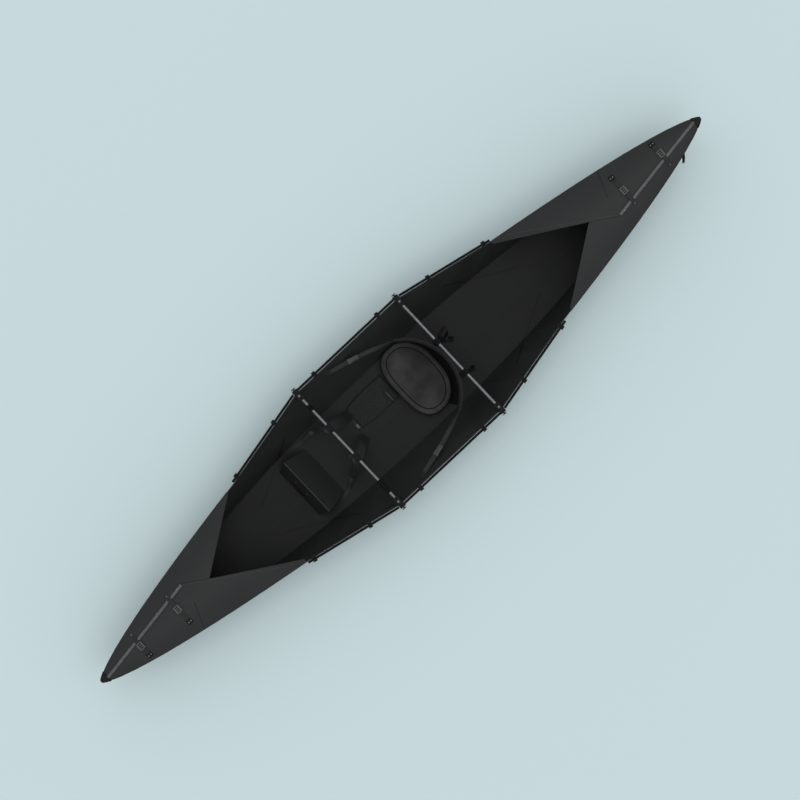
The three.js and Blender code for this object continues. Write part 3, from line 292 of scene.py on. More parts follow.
@dataclass(frozen=True)
class SheetFinish:
    """Twin-wall plastic sheet: fine flutes, cloudy gloss, faint scuffs and fold lines, each fold line drawn
    darker as painted shade.
    """

    name: str
    colour: int = 0x121313
    cloudy_colour: int = 0x181919
    scuff_colour: int = 0x26272A
    crease_colour: int = 0x0B0B0C
    gloss: float = 0.14
    roughness: Pair = (0.40, 0.56)
    flute_pitch: float = 0.0048
    flute_depth: float = 0.00004
    grain_size: float = 0.0011
    grain_depth: float = 0.00003
    cloud_size: float = 0.24
    scuff_size: float = 0.035
    scuff_start_share: float = 0.62
    scuff_strength: float = 0.5
    scuff_stretch: Triple = (0.18, 1.0, 1.0)
    crease_depth: float = 0.0009
    crease_strength: float = 0.6
    creases: tuple[Crease, ...] = ()

    def material(self) -> bpy.types.Material:
        """Builds the material."""
        shader = Shader(self.name, self.gloss, self.roughness[0])
        place = shader.place()
        x, y, z = shader.split(place)
        clouds = shader.noise(place, self.cloud_size)
        scuffs = shader.noise(shader.stretched(place, self.scuff_stretch), self.scuff_size)
        marks = shader.spread(scuffs, 0.0, 1.0, self.scuff_start_share)
        colour = shader.blend(clouds, linear(self.colour), linear(self.cloudy_colour))
        scuffed = shader.product(marks, self.scuff_strength)
        colour = shader.blend(scuffed, colour, linear(self.scuff_colour))
        across = shader.total(shader.math("ABSOLUTE", y), z)
        flutes = shader.product(shader.ripple(across, self.flute_pitch), self.flute_depth)
        grain = shader.product(shader.noise(place, self.grain_size), self.grain_depth)
        height = shader.total(flutes, grain)
        # Each fold line is pressed in and drawn darker: the darker colour is painted shade in the crease.
        for crease in self.creases:
            profile = crease.height(shader, x, y)
            crease_shade = shader.product(profile, self.crease_strength)
            colour = shader.blend(crease_shade, colour, linear(self.crease_colour))
            drop = shader.product(profile, -self.crease_depth)
            height = shader.total(height, drop)
        shader.feed("Base Color", colour)
        shader.feed("Roughness", shader.spread(clouds, *self.roughness))
        shader.relief(height)
        return shader.material


@dataclass(frozen=True)
class MouldedFinish:
    """Injection-moulded plastic with a fine grain and rubbed high spots."""

    name: str
    colour: int
    rubbed_colour: int
    gloss: float = 0.3
    roughness: Pair = (0.42, 0.58)
    grain_size: float = 0.0008
    grain_depth: float = 0.00003
    cloud_size: float = 0.03

    def material(self) -> bpy.types.Material:
        """Builds the material."""
        shader = Shader(self.name, self.gloss, self.roughness[0])
        place = shader.place()
        clouds = shader.noise(place, self.cloud_size)
        shader.paint(clouds, self.colour, self.rubbed_colour)
        shader.feed("Roughness", shader.spread(clouds, *self.roughness))
        grain = shader.noise(place, self.grain_size)
        shader.relief(shader.product(grain, self.grain_depth))
        return shader.material


@dataclass(frozen=True)
class MetalFinish:
    """Drawn aluminium: fine lines along its length and faint wear."""

    name: str
    colour: int
    worn_colour: int
    metallic: float = 0.9
    gloss: float = 0.5
    roughness: Pair = (0.28, 0.44)
    line_size: float = 0.0009
    line_depth: float = 0.00001
    line_stretch: Triple = (1.0, 0.03, 1.0)
    wear_size: float = 0.02

    def material(self) -> bpy.types.Material:
        """Builds the material."""
        shader = Shader(self.name, self.gloss, self.roughness[0], self.metallic)
        place = shader.place()
        lines = shader.noise(shader.stretched(place, self.line_stretch), self.line_size)
        wear = shader.noise(place, self.wear_size)
        shader.paint(wear, self.colour, self.worn_colour)
        shader.feed("Roughness", shader.spread(lines, *self.roughness))
        shader.relief(shader.product(lines, self.line_depth))
        return shader.material


@dataclass(frozen=True)
class WebbingFinish:
    """Woven strap: a herringbone along its middle and dust in the weave."""

    name: str
    colour: int = 0x121314
    thread_colour: int = 0x222426
    gloss: float = 0.12
    roughness: float = 0.78
    pitch: float = 0.0021
    weave_depth: float = 0.00012
    cloud_size: float = 0.03
    sheen: float = 0.04

    def material(self) -> bpy.types.Material:
        """Builds the material."""
        shader = Shader(self.name, self.gloss, self.roughness)
        shader.fix("Sheen Weight", self.sheen)
        run, across, _ = shader.split(shader.cloth_place())
        chevron = shader.total(run, shader.math("ABSOLUTE", across))
        weave = shader.product(shader.ripple(chevron, self.pitch), shader.ripple(run, self.pitch / 2))
        threads = shader.spread(weave, 0.0, 1.0, -1.0)
        clouds = shader.noise(shader.place(), self.cloud_size)
        share = shader.product(threads, shader.spread(clouds, 0.5, 1.0))
        shader.paint(share, self.colour, self.thread_colour)
        shader.relief(shader.product(weave, self.weave_depth))
        return shader.material


@dataclass(frozen=True)
class FabricFinish:
    """Woven cover: crossed threads, a soft sheen and faded patches."""

    name: str
    colour: int = 0x121314
    thread_colour: int = 0x212325
    gloss: float = 0.12
    roughness: float = 0.86
    pitch: float = 0.0011
    weave_depth: float = 0.00009
    wrinkle_size: float = 0.05
    wrinkle_depth: float = 0.0016
    cloud_size: float = 0.12
    cloud_start_share: float = 0.0
    sheen: float = 0.05

    def material(self) -> bpy.types.Material:
        """Builds the material."""
        shader = Shader(self.name, self.gloss, self.roughness)
        shader.fix("Sheen Weight", self.sheen)
        place = shader.place()
        x, y, z = shader.split(place)
        warp = shader.ripple(shader.total(x, z), self.pitch)
        weft = shader.ripple(shader.total(y, z), self.pitch)
        weave = shader.product(warp, weft)
        clouds = shader.noise(place, self.cloud_size)
        faded = shader.spread(clouds, 0.0, 1.0, self.cloud_start_share)
        share = shader.product(shader.spread(weave, 0.0, 1.0, -1.0), faded)
        shader.paint(share, self.colour, self.thread_colour)
        wrinkles = shader.product(shader.noise(place, self.wrinkle_size), self.wrinkle_depth)
        height = shader.total(shader.product(weave, self.weave_depth), wrinkles)
        shader.relief(height)
        return shader.material


@dataclass(frozen=True)
class SpacerFinish:
    """Air mesh: small open cells over a darker layer."""

    name: str
    colour: int = 0x202121
    thread_colour: int = 0x343535
    gloss: float = 0.12
    roughness: float = 0.88
    cell: float = 0.0034
    cell_depth: float = 0.0005
    wall_start_share: float = 0.35
    wrinkle_size: float = 0.07
    wrinkle_depth: float = 0.0014

    def material(self) -> bpy.types.Material:
        """Builds the material."""
        shader = Shader(self.name, self.gloss, self.roughness)
        place = shader.place()
        cells = shader.node("TexVoronoi", {"Vector": place, "Scale": 1 / self.cell}).outputs[0]
        walls = shader.spread(cells, 0.0, 1.0, self.wall_start_share)
        shader.paint(walls, self.colour, self.thread_colour)
        wrinkles = shader.product(shader.noise(place, self.wrinkle_size), self.wrinkle_depth)
        shader.relief(shader.total(shader.product(walls, self.cell_depth), wrinkles))
        return shader.material


@dataclass
class Shape:
    """Points, faces, and each face corner's place on the cloth."""

    points: list[Vector] = field(default_factory=list)
    faces: list[tuple[int, ...]] = field(default_factory=list)
    cloth: list[list[Pair]] = field(default_factory=list)

    def add(self, other: "Shape") -> "Shape":
        """Takes in another shape and returns this one."""
        start = len(self.points)
        self.points.extend(other.points)
        self.faces.extend(tuple(start + i for i in face) for face in other.faces)
        self.cloth.extend(other.cloth)
        return self

    def moved(self, matrix: Matrix) -> "Shape":
        """A copy of the shape, turned and moved."""
        return Shape([matrix @ p for p in self.points], list(self.faces), list(self.cloth))

    def lay_flat(self) -> None:
        """Takes each face corner's place on the cloth from its place in plan."""
        self.cloth = [[(self.points[i].x, self.points[i].y) for i in face] for face in self.faces]

    def wrap(self, rings: int) -> None:
        """Joins the points, a number of closed rings one after the other, and fills both ends."""
        size = len(self.points) // rings
        for i in range(rings - 1):
            for k in range(size):
                n = (k + 1) % size
                self.faces.append((i * size + k, i * size + n, (i + 1) * size + n, (i + 1) * size + k))
        for i in (0, rings - 1):
            self.faces.append(tuple(i * size + k for k in range(size)))
        self.lay_flat()

    def mesh(self, name: str) -> bpy.types.Mesh:
        """Makes the shape's mesh, with every face turned outwards."""
        mesh = bpy.data.meshes.new(name)
        mesh.from_pydata([tuple(p) for p in self.points], [], self.faces)
        layer = mesh.uv_layers.new(name="cloth")
        flat = [value for corners in self.cloth for corner in corners for value in corner]
        layer.data.foreach_set("uv", flat)
        work = bmesh.new()
        work.from_mesh(mesh)
        bmesh.ops.recalc_face_normals(work, faces=work.faces)
        work.to_mesh(mesh)
        work.free()
        return mesh


@dataclass
class Spline:
    """A smooth curve that eases through its points."""

    points: list[Vector]

    def at(self, share: float) -> Vector:
        """The curve's place at a share of the way through its points."""
        count = len(self.points) - 1
        place = min(max(share, 0.0), 1.0) * count
        k = min(int(place), count - 1)
        p1, p2 = self.points[k], self.points[k + 1]
        p0 = self.points[k - 1] if k > 0 else 2 * p1 - p2
        p3 = self.points[k + 2] if k + 2 <= count else 2 * p2 - p1
        d0, d1, d2 = (math.sqrt((b - a).length) or 1.0 for a, b in ((p0, p1), (p1, p2), (p2, p3)))
        lead = ((p1 - p0) / d0 - (p2 - p0) / (d0 + d1) + (p2 - p1) / d1) * d1
        tail = ((p2 - p1) / d1 - (p3 - p1) / (d1 + d2) + (p3 - p2) / d2) * d1
        t = place - k
        bend = -3 * p1 + 3 * p2 - 2 * lead - tail
        twist = 2 * p1 - 2 * p2 + lead + tail
        return p1 + lead * t + bend * t**2 + twist * t**3

    def path(self, count: int, start: float = 0.0, stop: float = 1.0) -> list[Vector]:
        """Places along the curve, both ends included."""
        return [self.at(mix(start, stop, share)) for share in steps(count)]


def strap_section(width: float, thickness: float) -> Section:
    """A flat strap's section, with rounded edges."""
    half, depth, shoulder_share = width / 2, thickness / 2, 0.8
    inner = half - depth / 2
    top = [(half, 0.0), (inner, depth * shoulder_share), (half / 2, depth), (0.0, depth)]
    left = [(-w, h) for w, h in reversed(top[:-1])]
    upper = top + left
    return upper + [(-w, -h) for w, h in upper[1:-1]]


def puffed_section(width: float, thickness: float, profile: Sequence[Pair]) -> Section:
    """A padded section from the profile of its upper side.

    Args:
        width: Whole width.
        thickness: Whole thickness.
        profile: Share of the half width and of the half thickness, from one edge to the other.

    Returns:
        The closed section.
    """
    upper = [(w * width / 2, h * thickness / 2) for w, h in profile]
    return upper + [(w, -h) for w, h in reversed(upper[1:-1])]


def round_section(radius: float, count: int) -> Section:
    """A round section."""
    turns = [math.tau * i / count for i in range(count)]
    return [(radius * math.cos(a), radius * math.sin(a)) for a in turns]


def sweep(
    spine: Sequence[Vector],
    side_at: Callable[[float], Vector],
    section_at: Callable[[float], Section],
    closed: bool = False,
) -> Shape:
    """Carries a section along a spine.

    Args:
        spine: The section's centres.
        side_at: The direction of the section's width at a share of the way.
        section_at: The closed section at a share of the way.
        closed: Whether the spine joins itself.

    Returns:
        The swept shape, closed at its ends.
    """
    last = len(spine) - 1
    rings: list[list[Vector]] = []
    runs = [0.0]
    widths: list[list[float]] = []
    for i, centre in enumerate(spine):
        if closed:
            before, after = spine[i - 1], spine[(i + 1) % len(spine)]
        else:
            before, after = spine[max(i - 1, 0)], spine[min(i + 1, last)]
        heading = (after - before).normalized()
        wanted = side_at(i / last)
        side = (wanted - heading * wanted.dot(heading)).normalized()
        normal = heading.cross(side)
        section = section_at(i / last)
        rings.append([centre + side * w + normal * h for w, h in section])
        widths.append([w for w, _ in section])
        if i:
            runs.append(runs[-1] + (centre - spine[i - 1]).length)
    shape = Shape([p for ring in rings for p in ring])
    size = len(rings[0])
    pairs = [(i, i + 1) for i in range(last)]
    if closed:
        pairs.append((last, 0))
    for i, j in pairs:
        far = runs[j] if j else runs[i] + (spine[0] - spine[i]).length
        for k in range(size):
            n = (k + 1) % size
            shape.faces.append((i * size + k, i * size + n, j * size + n, j * size + k))
            shape.cloth.append([
                (runs[i], widths[i][k]), (runs[i], widths[i][n]), (far, widths[j][n]), (far, widths[j][k]),
            ])
    if not closed:
        for i in (0, last):
            shape.faces.append(tuple(i * size + k for k in range(size)))
            shape.cloth.append([(runs[i], widths[i][k]) for k in range(size)])
    return shape


def ribbon(
    spine: Sequence[Vector], width: float, thickness: float, side: Vector = ACROSS, closed: bool = False,
) -> Shape:
    """A flat strap along a spine, its width along one direction."""
    section = strap_section(width, thickness)
    return sweep(spine, lambda share: side, lambda share: section, closed)


def rod(
    spine: Sequence[Vector], radius: float, count: int = 8, side: Vector = UP, closed: bool = False,
) -> Shape:
    """A round bar or cord along a spine."""
    section = round_section(radius, count)
    return sweep(spine, lambda share: side, lambda share: section, closed)


def lathe(profile: Sequence[Pair], count: int) -> Shape:
    """A turned shape about Z, from a profile of radius and height that ends on the axis."""
    shape = Shape()
    size = len(profile)
    for i in range(count):
        angle = math.tau * i / count
        shape.points.extend(Vector((r * math.cos(angle), r * math.sin(angle), z)) for r, z in profile)
    for i in range(count):
        j = (i + 1) % count
        for k in range(size - 1):
            shape.faces.append((i * size + k, j * size + k, j * size + k + 1, i * size + k + 1))
            shape.cloth.append([(i, k), (i + 1, k), (i + 1, k + 1), (i, k + 1)])
    for k in (0, size - 1):
        shape.faces.append(tuple(i * size + k for i in range(count)))
        shape.cloth.append([(i, k) for i in range(count)])
    return shape


def dome(radius: float, height: float) -> Shape:
    """A rivet head or stud: a flange, a rounded top and a small flat crown."""
    skirt_share, crown_share, sides = 0.35, 0.25, 16
    profile = [(radius, 0.0), (radius, height * skirt_share)]
    for share in steps(4)[1:]:
        angle = share * math.pi / 2
        reach = mix(radius * crown_share, radius, math.cos(angle))
        profile.append((reach, mix(height * skirt_share, height, math.sin(angle))))
    return lathe(profile, sides)


def rounded_block(size: Vector, rounding: float) -> Shape:
    """A block centred on the origin, its edges rounded over."""
    work = bmesh.new()
    bmesh.ops.create_cube(work, size=1.0)
    for vert in work.verts:
        vert.co = Vector((vert.co.x * size.x, vert.co.y * size.y, vert.co.z * size.z))
    bmesh.ops.bevel(
        work, geom=list(work.edges), offset=rounding, segments=3, profile=0.5, affect="EDGES",
    )
    work.verts.index_update()
    shape = Shape([v.co.copy() for v in work.verts], [tuple(v.index for v in f.verts) for f in work.faces])
    shape.cloth = [[(v.co.x, v.co.y) for v in f.verts] for f in work.faces]
    work.free()
    return shape


def facing(place: Vector, out: Vector) -> Matrix:
    """The matrix that sets a shape down at a place with its Z along a direction."""
    turn = UP.rotation_difference(out.normalized()).to_matrix().to_4x4()
    return Matrix.Translation(place) @ turn


def felt(*meshes: bpy.types.Mesh) -> BVHTree:
    """The faces of some meshes together, to be felt along a ray."""
    points: list[Vector] = []
    faces: list[tuple[int, ...]] = []
    for mesh in meshes:
        start = len(points)
        points.extend(v.co.copy() for v in mesh.vertices)
        faces.extend(tuple(start + i for i in p.vertices) for p in mesh.polygons)
    return BVHTree.FromPolygons(points, faces)


class Surface:
    """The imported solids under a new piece, felt from above."""

    start_height = 2.0

    def __init__(self, *nodes: str) -> None:
        """Gathers the faces of the named nodes."""
        self.tree = felt(*(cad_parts[node].data for node in nodes))

    def hit(self, x: float, y: float) -> tuple[Vector, Vector] | None:
        """The first place met on the way down, with the way out of the surface there."""
        place, normal, _, _ = self.tree.ray_cast(Vector((x, y, self.start_height)), -UP)
        if place is None:
            return None
        return place, normal if normal.z > 0 else -normal

    def height(self, x: float, y: float) -> float:
        """The surface's height at a place in plan, or 0 beside it."""
        found = self.hit(x, y)
        return found[0].z if found else 0.0


def outer_edge(node: str) -> list[Vector]:
    """The outermost and highest place of a packed side or floor sheet at each station.

    Args:
        node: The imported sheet.

    Returns:
        One place for each station, from the stern to the bow.
    """
    edge: dict[int, Vector] = {}
    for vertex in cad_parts[node].data.vertices:
        place = vertex.co
        station = round(place.x / STATION_GRID)
        best = edge.get(station)
        if best is None or abs(place.y) + place.z > abs(best.y) + best.z:
            edge[station] = place.copy()
    return [edge[station] for station in sorted(edge)]


def hull_creases() -> tuple[Crease, ...]:
    """Fold lines of the hull: a dart at each corner of the cockpit and one near each tip."""
    spots = (((0.62, 0.31), (1.02, 0.10)), ((1.42, 0.20), (1.75, 0.03)))
    return tuple(
        Crease((x0 * end.value, y0 * side.value), (x1 * end.value, y1 * side.value))
        for end in End
        for side in Side
        for (x0, y0), (x1, y1) in spots
    )


def deck_crease(end: End) -> Crease:
    """The dart in a wide deck flap, from the gunwale towards the seam's inner end."""
    start, stop = (1.699, 0.186), (1.625, 0.03)
    sign = end.value
    return Crease((start[0] * sign, start[1] * sign), (stop[0] * sign, stop[1] * sign))


def finishes() -> dict[str, bpy.types.Material]:
    """Builds every material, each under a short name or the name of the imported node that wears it."""
    looks: dict[str, Finish] = {
        "floor": SheetFinish("floor sheet", creases=hull_creases()),
        # The side sheets are the floor's plastic in a lighter tone: painted light that makes up for the
        # dimmer light on the steep walls.
        "side": SheetFinish("side sheet", 0x202121, 0x292A2A, creases=hull_creases()),
        "brace": SheetFinish("foot brace sheet", 0x1F2020, 0x292A2A),
        "cap": MouldedFinish("end cap rubber", 0x060607, 0x0F1010, gloss=0.2),
        "seam": MouldedFinish("seam extrusion", 0x2C2D2F, 0x626467, roughness=(0.3, 0.44), cloud_size=0.014),
        "moulded": MouldedFinish("moulded fitting", 0x060607, 0x0E0F10, gloss=0.14),
        "knob": MouldedFinish("clamping knob", 0x0B0C0D, 0x1C1D1E, roughness=(0.3, 0.42)),
        "buckle": MouldedFinish(
            "worn buckle", 0x17181A, 0x48494B, gloss=0.5, roughness=(0.28, 0.42), cloud_size=0.007,
        ),
        "adjuster": MouldedFinish("strap adjuster", 0x17181A, 0x404143, gloss=0.4, cloud_size=0.01),
        # Pale edge colour for the flap welt and the brace ridge; on the brace ridge it is partly a painted
        # highlight.
        "edge": MouldedFinish("cut edge", 0x262728, 0x363738, roughness=(0.4, 0.5)),
        "sleeve": MouldedFinish("foam sleeve", 0x08090A, 0x101112, gloss=0.1, roughness=(0.7, 0.85)),
        "rail": MetalFinish(
            "anodised rail", 0x060607, 0x0D0E0E, metallic=0.2, gloss=0.12, line_stretch=(0.03, 1.0, 1.0),
        ),
        "rivet": MetalFinish("dull rivet", 0x5C5E61, 0x8A8C8F, metallic=0.8),
        "webbing": WebbingFinish("dark webbing"),
        "black_webbing": WebbingFinish("black webbing", 0x050506, 0x0C0D0D),
        "pale_webbing": WebbingFinish("strap webbing", 0x1F2020, 0x3C3D3D),
        "handle": WebbingFinish("rolled webbing", 0x2E2F30, 0x58595A),
        "binding": WebbingFinish("edge binding", 0x1C1E20, 0x303235),
        "piping": WebbingFinish("seat piping", 0x080808, 0x151515),
        "fabric": FabricFinish("cushion cover"),
        "seat_fabric": FabricFinish("seat cover", 0x262626, 0x727272, cloud_size=0.2, cloud_start_share=0.3),
        # Near-black cloth for the backrest band; on the sheet behind the seat the same colour is painted
        # shade.
        "dark_fabric_and_shade": FabricFinish("seat base cover", 0x050505, 0x0A0A0B),
        "spacer": SpacerFinish("air mesh"),
    }
    for end in End:
        looks[f"crossbar_{end.word}"] = MetalFinish(
            f"bare tube {end.word}", 0x505255, 0x7A7C7F, roughness=(0.20, 0.32),
        )
        for lap in LAPS:
            # The deck flaps are the hull's plastic in a lighter tone than the floor: painted light for their
            # open place above the hull's shaded inside.
            looks[f"deck_flap_{lap}_{end.word}"] = SheetFinish(
                f"deck sheet {lap} {end.word}", 0x202122, 0x272829, 0x313335, gloss=0.22,
                creases=(deck_crease(end),) if lap == "over" else (),
            )
    return {name: look.material() for name, look in looks.items()}


@dataclass
class Workshop:
    """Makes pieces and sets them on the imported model."""

    finishes: dict[str, bpy.types.Material]

    def piece(
        self,
        name: str,
        shape: Shape,
        finish: str,
        slot: Slot,
        body: str | None,
        stands_for: Sequence[str] = (),
        smooth_degrees: float = 40.0,
    ) -> bpy.types.Object:
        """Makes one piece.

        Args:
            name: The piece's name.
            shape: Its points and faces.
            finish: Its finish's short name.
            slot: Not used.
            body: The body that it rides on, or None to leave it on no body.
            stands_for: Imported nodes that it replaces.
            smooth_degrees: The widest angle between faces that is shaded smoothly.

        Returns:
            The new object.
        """
        mesh = shape.mesh(name)
        mesh.materials.append(self.finishes[finish])
        mesh.polygons.foreach_set("use_smooth", [True] * len(mesh.polygons))
        mesh.set_sharp_from_angle(angle=math.radians(smooth_degrees))
        made = bpy.data.objects.new(name, mesh)
        bpy.context.scene.collection.objects.link(made)
        if stands_for:
            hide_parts(*stands_for)
        if body is not None:
            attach(made, body)
        LOG.info("piece %s: %d faces", name, len(mesh.polygons))
        return made


@dataclass(frozen=True)
class Inflation:
    """Puffs a padded piece up between its seams with a short cloth simulation."""

    voxel: float = 0.0055
    pressure: float = 4.0
    last_frame: int = 20
    quality: int = 5
    reach: float = 0.0055

    def evaluated(self, made: bpy.types.Object) -> bpy.types.Mesh:
        """A copy of the piece's mesh with its modifiers applied."""
        graph = bpy.context.evaluated_depsgraph_get()
        return bpy.data.meshes.new_from_object(made.evaluated_get(graph), depsgraph=graph)

    def puff(self, made: bpy.types.Object, held: Callable[[Vector], bool]) -> None:
        """Runs the simulation and keeps its result in the mesh.

        Args:
            made: The piece, slightly smaller than it will be.
            held: Whether a place is held still, by a seam or by what it rests on.
        """
        scene = bpy.context.scene
        even = made.modifiers.new("even mesh", "REMESH")
        even.mode = "VOXEL"
        even.voxel_size = self.voxel
        mesh = self.evaluated(made)
        made.modifiers.clear()
        made.data = mesh
        before = [vertex.co.copy() for vertex in mesh.vertices]
        pins = made.vertex_groups.new(name="held")
        pins.add([i for i, place in enumerate(before) if held(place)], 1.0, "REPLACE")
        cloth = made.modifiers.new("cloth", "CLOTH")
        cloth.settings.quality = self.quality
        cloth.settings.use_pressure = True
        cloth.settings.uniform_pressure_force = self.pressure
        cloth.settings.effector_weights.gravity = 0.0
        cloth.settings.vertex_group_mass = pins.name
        cloth.point_cache.frame_end = self.last_frame
        for number in range(1, self.last_frame + 1):
            scene.frame_set(number)
        after = [vertex.co.copy() for vertex in self.evaluated(made).vertices]
        made.modifiers.clear()
        made.vertex_groups.clear()
        scene.frame_set(1)
        farthest = 0.0
        for vertex, start, end in zip(mesh.vertices, before, after):
            move = end - start
            farthest = max(farthest, move.length)
            if move.length > self.reach:
                move = move * (self.reach / move.length)
            vertex.co = start + move
        mesh.polygons.foreach_set("use_smooth", [True] * len(mesh.polygons))
        smooth = made.modifiers.new("subdivision", "SUBSURF")
        smooth.levels = 1
        smooth.render_levels = 1
        LOG.info("puffed %s: %d points, farthest %.4f", made.name, len(before), farthest)


@dataclass
class Shell:
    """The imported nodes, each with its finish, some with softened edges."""

    shop: Workshop
    edge_round: float = 0.0007
    edge_degrees: float = 38.0
    edge_segments: int = 2
    smooth_degrees: float = 24.0
    rounded: tuple[str, ...] = ("bar_", "end_cap", "deck_buckle", "foot_brace", "crossbar")
    kinds: dict[str, str] = field(default_factory=lambda: {
        "floor_panel": "floor",
        "side_panel": "side",
        "foot_brace": "brace",
        "end_cap": "cap",
        "seam_rail": "seam",
        "gunwale_rail": "rail",
        "bar_fitting": "moulded",
        "strap_anchor": "moulded",
        "bar_knob": "knob",
        "seat_buckle": "adjuster",
        "ladder_lock": "adjuster",
        "deck_buckle": "buckle",
    })

    def finish_of(self, node: str) -> str:
        """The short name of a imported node's finish, by what the node is."""
        if node in self.shop.finishes:
            return node
        found = [finish for start, finish in self.kinds.items() if node.startswith(start)]
        return found[0] if found else "webbing"

    def dress(self) -> None:
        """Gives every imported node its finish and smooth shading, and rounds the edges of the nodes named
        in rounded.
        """
        for name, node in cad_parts.items():
            mesh = node.data
            mesh.materials.clear()
            mesh.materials.append(self.shop.finishes[self.finish_of(name)])
            mesh.polygons.foreach_set("use_smooth", [True] * len(mesh.polygons))
            mesh.set_sharp_from_angle(angle=math.radians(self.smooth_degrees))
            if name.startswith(self.rounded):
                rounding = node.modifiers.new("rounded edges", "BEVEL")
                rounding.width = self.edge_round
                rounding.segments = self.edge_segments
                rounding.angle_limit = math.radians(self.edge_degrees)
                rounding.harden_normals = True
        LOG.info("dressed %d packed nodes", len(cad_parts))


@dataclass
class Deck:
    """One end's deck: straps, studs, rivets and the trim on the wide flap's free edge."""

    shop: Workshop
    end: End
    strap_width: float = 0.025
    strap_thickness: float = 0.002
    plate_length: float = 0.030
    plate_width: float = 0.032
    plate_height: float = 0.005
    stud_length: float = 0.016
    stud_radius: float = 0.0058
    stud_height: float = 0.0042
    strap_steps: int = 72
    tail_length: float = 0.046
    tail_lift: float = 0.0028
    tail_width_share: float = 0.94
    rivet_radius: float = 0.0042
    rivet_height: float = 0.0018
    seam_rivet_shares: tuple[float, ...] = (0.03, 0.17, 0.31, 0.45, 0.59, 0.73, 0.87)
    seam_start: Pair = (1.631, 0.090)
    seam_end: Pair = (2.262, 0.010)
    edge_start: Pair = (1.075, 0.268)
    edge_end: Pair = (1.612, -0.086)
    edge_width: float = 0.0034
    edge_thickness: float = 0.0012
    edge_steps: int = 48
    crease_stop: float = 2.262
    crease_steps: int = 60
    crease_rows: int = 24
    crease_rise: float = 0.0046
    crease_drop: float = 0.0080
    crease_grip: float = 0.0008
    crease_thickness: float = 0.0008

    @property
    def over_body(self) -> str:
        """The wide flap's body."""
        return f"flap_over_{self.end.word}"

    def spot(self, along: float, over: float) -> Pair:
        """A place in plan from its reach and how far it is towards the wide flap's side."""
        return along * self.end.value, over * self.end.value

    def strap_heights(self, node: str, x: float, places: Sequence[float]) -> list[float]:
        """Heights of the webbing's middle across the deck.

        Args:
            node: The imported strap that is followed.
            x: The strap's place along the hull.
            places: Distances towards the wide flap's side, from the anchor on.

        Returns:
            One height for each place.
        """
        surface = Surface(node)
        heights = []
        for place in places:
            top = surface.height(x, place * self.end.value)
            raised = place > places[0] - self.plate_length or place < places[-1] + self.stud_length
            extra = self.plate_height - self.strap_thickness if raised else 0.0
            heights.append(top - extra - self.strap_thickness / 2)
        return heights

    def strap(self, row: str) -> None:
        """Builds one deck strap with its free tail, anchor plate and stud."""
        node = f"deck_strap_{self.end.word}_{row}"
        body = f"strap_{self.end.word}_{row}"
        low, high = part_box(node)
        x = (low.x + high.x) / 2
        reaches = sorted([low.y * self.end.value, high.y * self.end.value], reverse=True)
        first, last = reaches[0] - REST_GAP, reaches[1] + REST_GAP
        places = [mix(first, last, share) for share in steps(self.strap_steps)]
        heights = self.strap_heights(node, x, places)
        spine = [Vector((x, place * self.end.value, z)) for place, z in zip(places, heights)]
        shape = ribbon(spine, self.strap_width, self.strap_thickness, ALONG)
        shape.add(self.tail(row, places, spine))
        self.shop.piece(f"webbing_{self.end.word}_{row}", shape, "pale_webbing", Slot.WEBBING, body, [node])
        run = places[0] - places[-1]
        self.anchor(row, body, spine, round(self.strap_steps * self.plate_length / 2 / run))
        stud_at = spine[-1 - round(self.strap_steps * self.stud_length / 2 / run)]
        stud = dome(self.stud_radius, self.stud_height).moved(facing(stud_at, UP))
        self.shop.piece(f"stud_{self.end.word}_{row}", stud, "seam", Slot.KNOB, body)

    def anchor(self, row: str, body: str, spine: Sequence[Vector], step: int) -> None:
        """Sets the anchor plate and its two rivets on a strap.

        Args:
            row: The strap's place on the deck, "inner" or "outer".
            body: The strap's body.
            spine: The middle of its webbing.
            step: The place on the spine under the plate's middle.
        """
        plate_at = spine[step]
        lift = self.plate_height / 2 + self.strap_thickness / 2
        slope = (spine[1] - spine[0]).normalized()
        out = slope.cross(ALONG)
        out = out if out.z > 0 else -out
        plate_size = Vector((self.plate_width, self.plate_length, self.strap_thickness))
        plate = rounded_block(plate_size, REST_GAP * 2)
        parts = plate.moved(facing(plate_at + out * (lift - self.strap_thickness / 2), out))
        self.shop.piece(f"anchor_plate_{self.end.word}_{row}", parts, "moulded", Slot.BUCKLE, body)
        rivets = Shape()
        head = dome(self.rivet_radius, self.rivet_height)
        for shift in (-1, 1):
            at = plate_at + out * lift + ALONG * (shift * self.plate_width / 4)
            rivets.add(head.moved(facing(at, out)))
        self.shop.piece(f"anchor_rivets_{self.end.word}_{row}", rivets, "rivet", Slot.KNOB, body)

    def tail(self, row: str, places: Sequence[float], spine: Sequence[Vector]) -> Shape:
        """The strap's free end, doubled back from the buckle over the webbing."""
        low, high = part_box(f"deck_buckle_{self.end.word}_{row}")
        start = max(low.y * self.end.value, high.y * self.end.value)
        raised = [
            centre + UP * self.tail_lift
            for centre, place in zip(spine, places)
            if start - self.tail_lift < place < start + self.tail_length
        ]
        return ribbon(raised, self.strap_width * self.tail_width_share, self.strap_thickness, ALONG)

    def seam_rivets(self) -> None:
        """Sets a row of rivets along the seam rail."""
        surface = Surface(f"seam_rail_{self.end.word}")
        shape = Shape()
        head = dome(self.rivet_radius, self.rivet_height)
        for share in self.seam_rivet_shares:
            along = mix(self.seam_start[0], self.seam_end[0], share)
            over = -mix(self.seam_start[1], self.seam_end[1], share)
            found = surface.hit(*self.spot(along, over))
            if found:
                shape.add(head.moved(facing(found[0], found[1])))
        self.shop.piece(f"seam_rivets_{self.end.word}", shape, "rivet", Slot.KNOB, self.over_body)

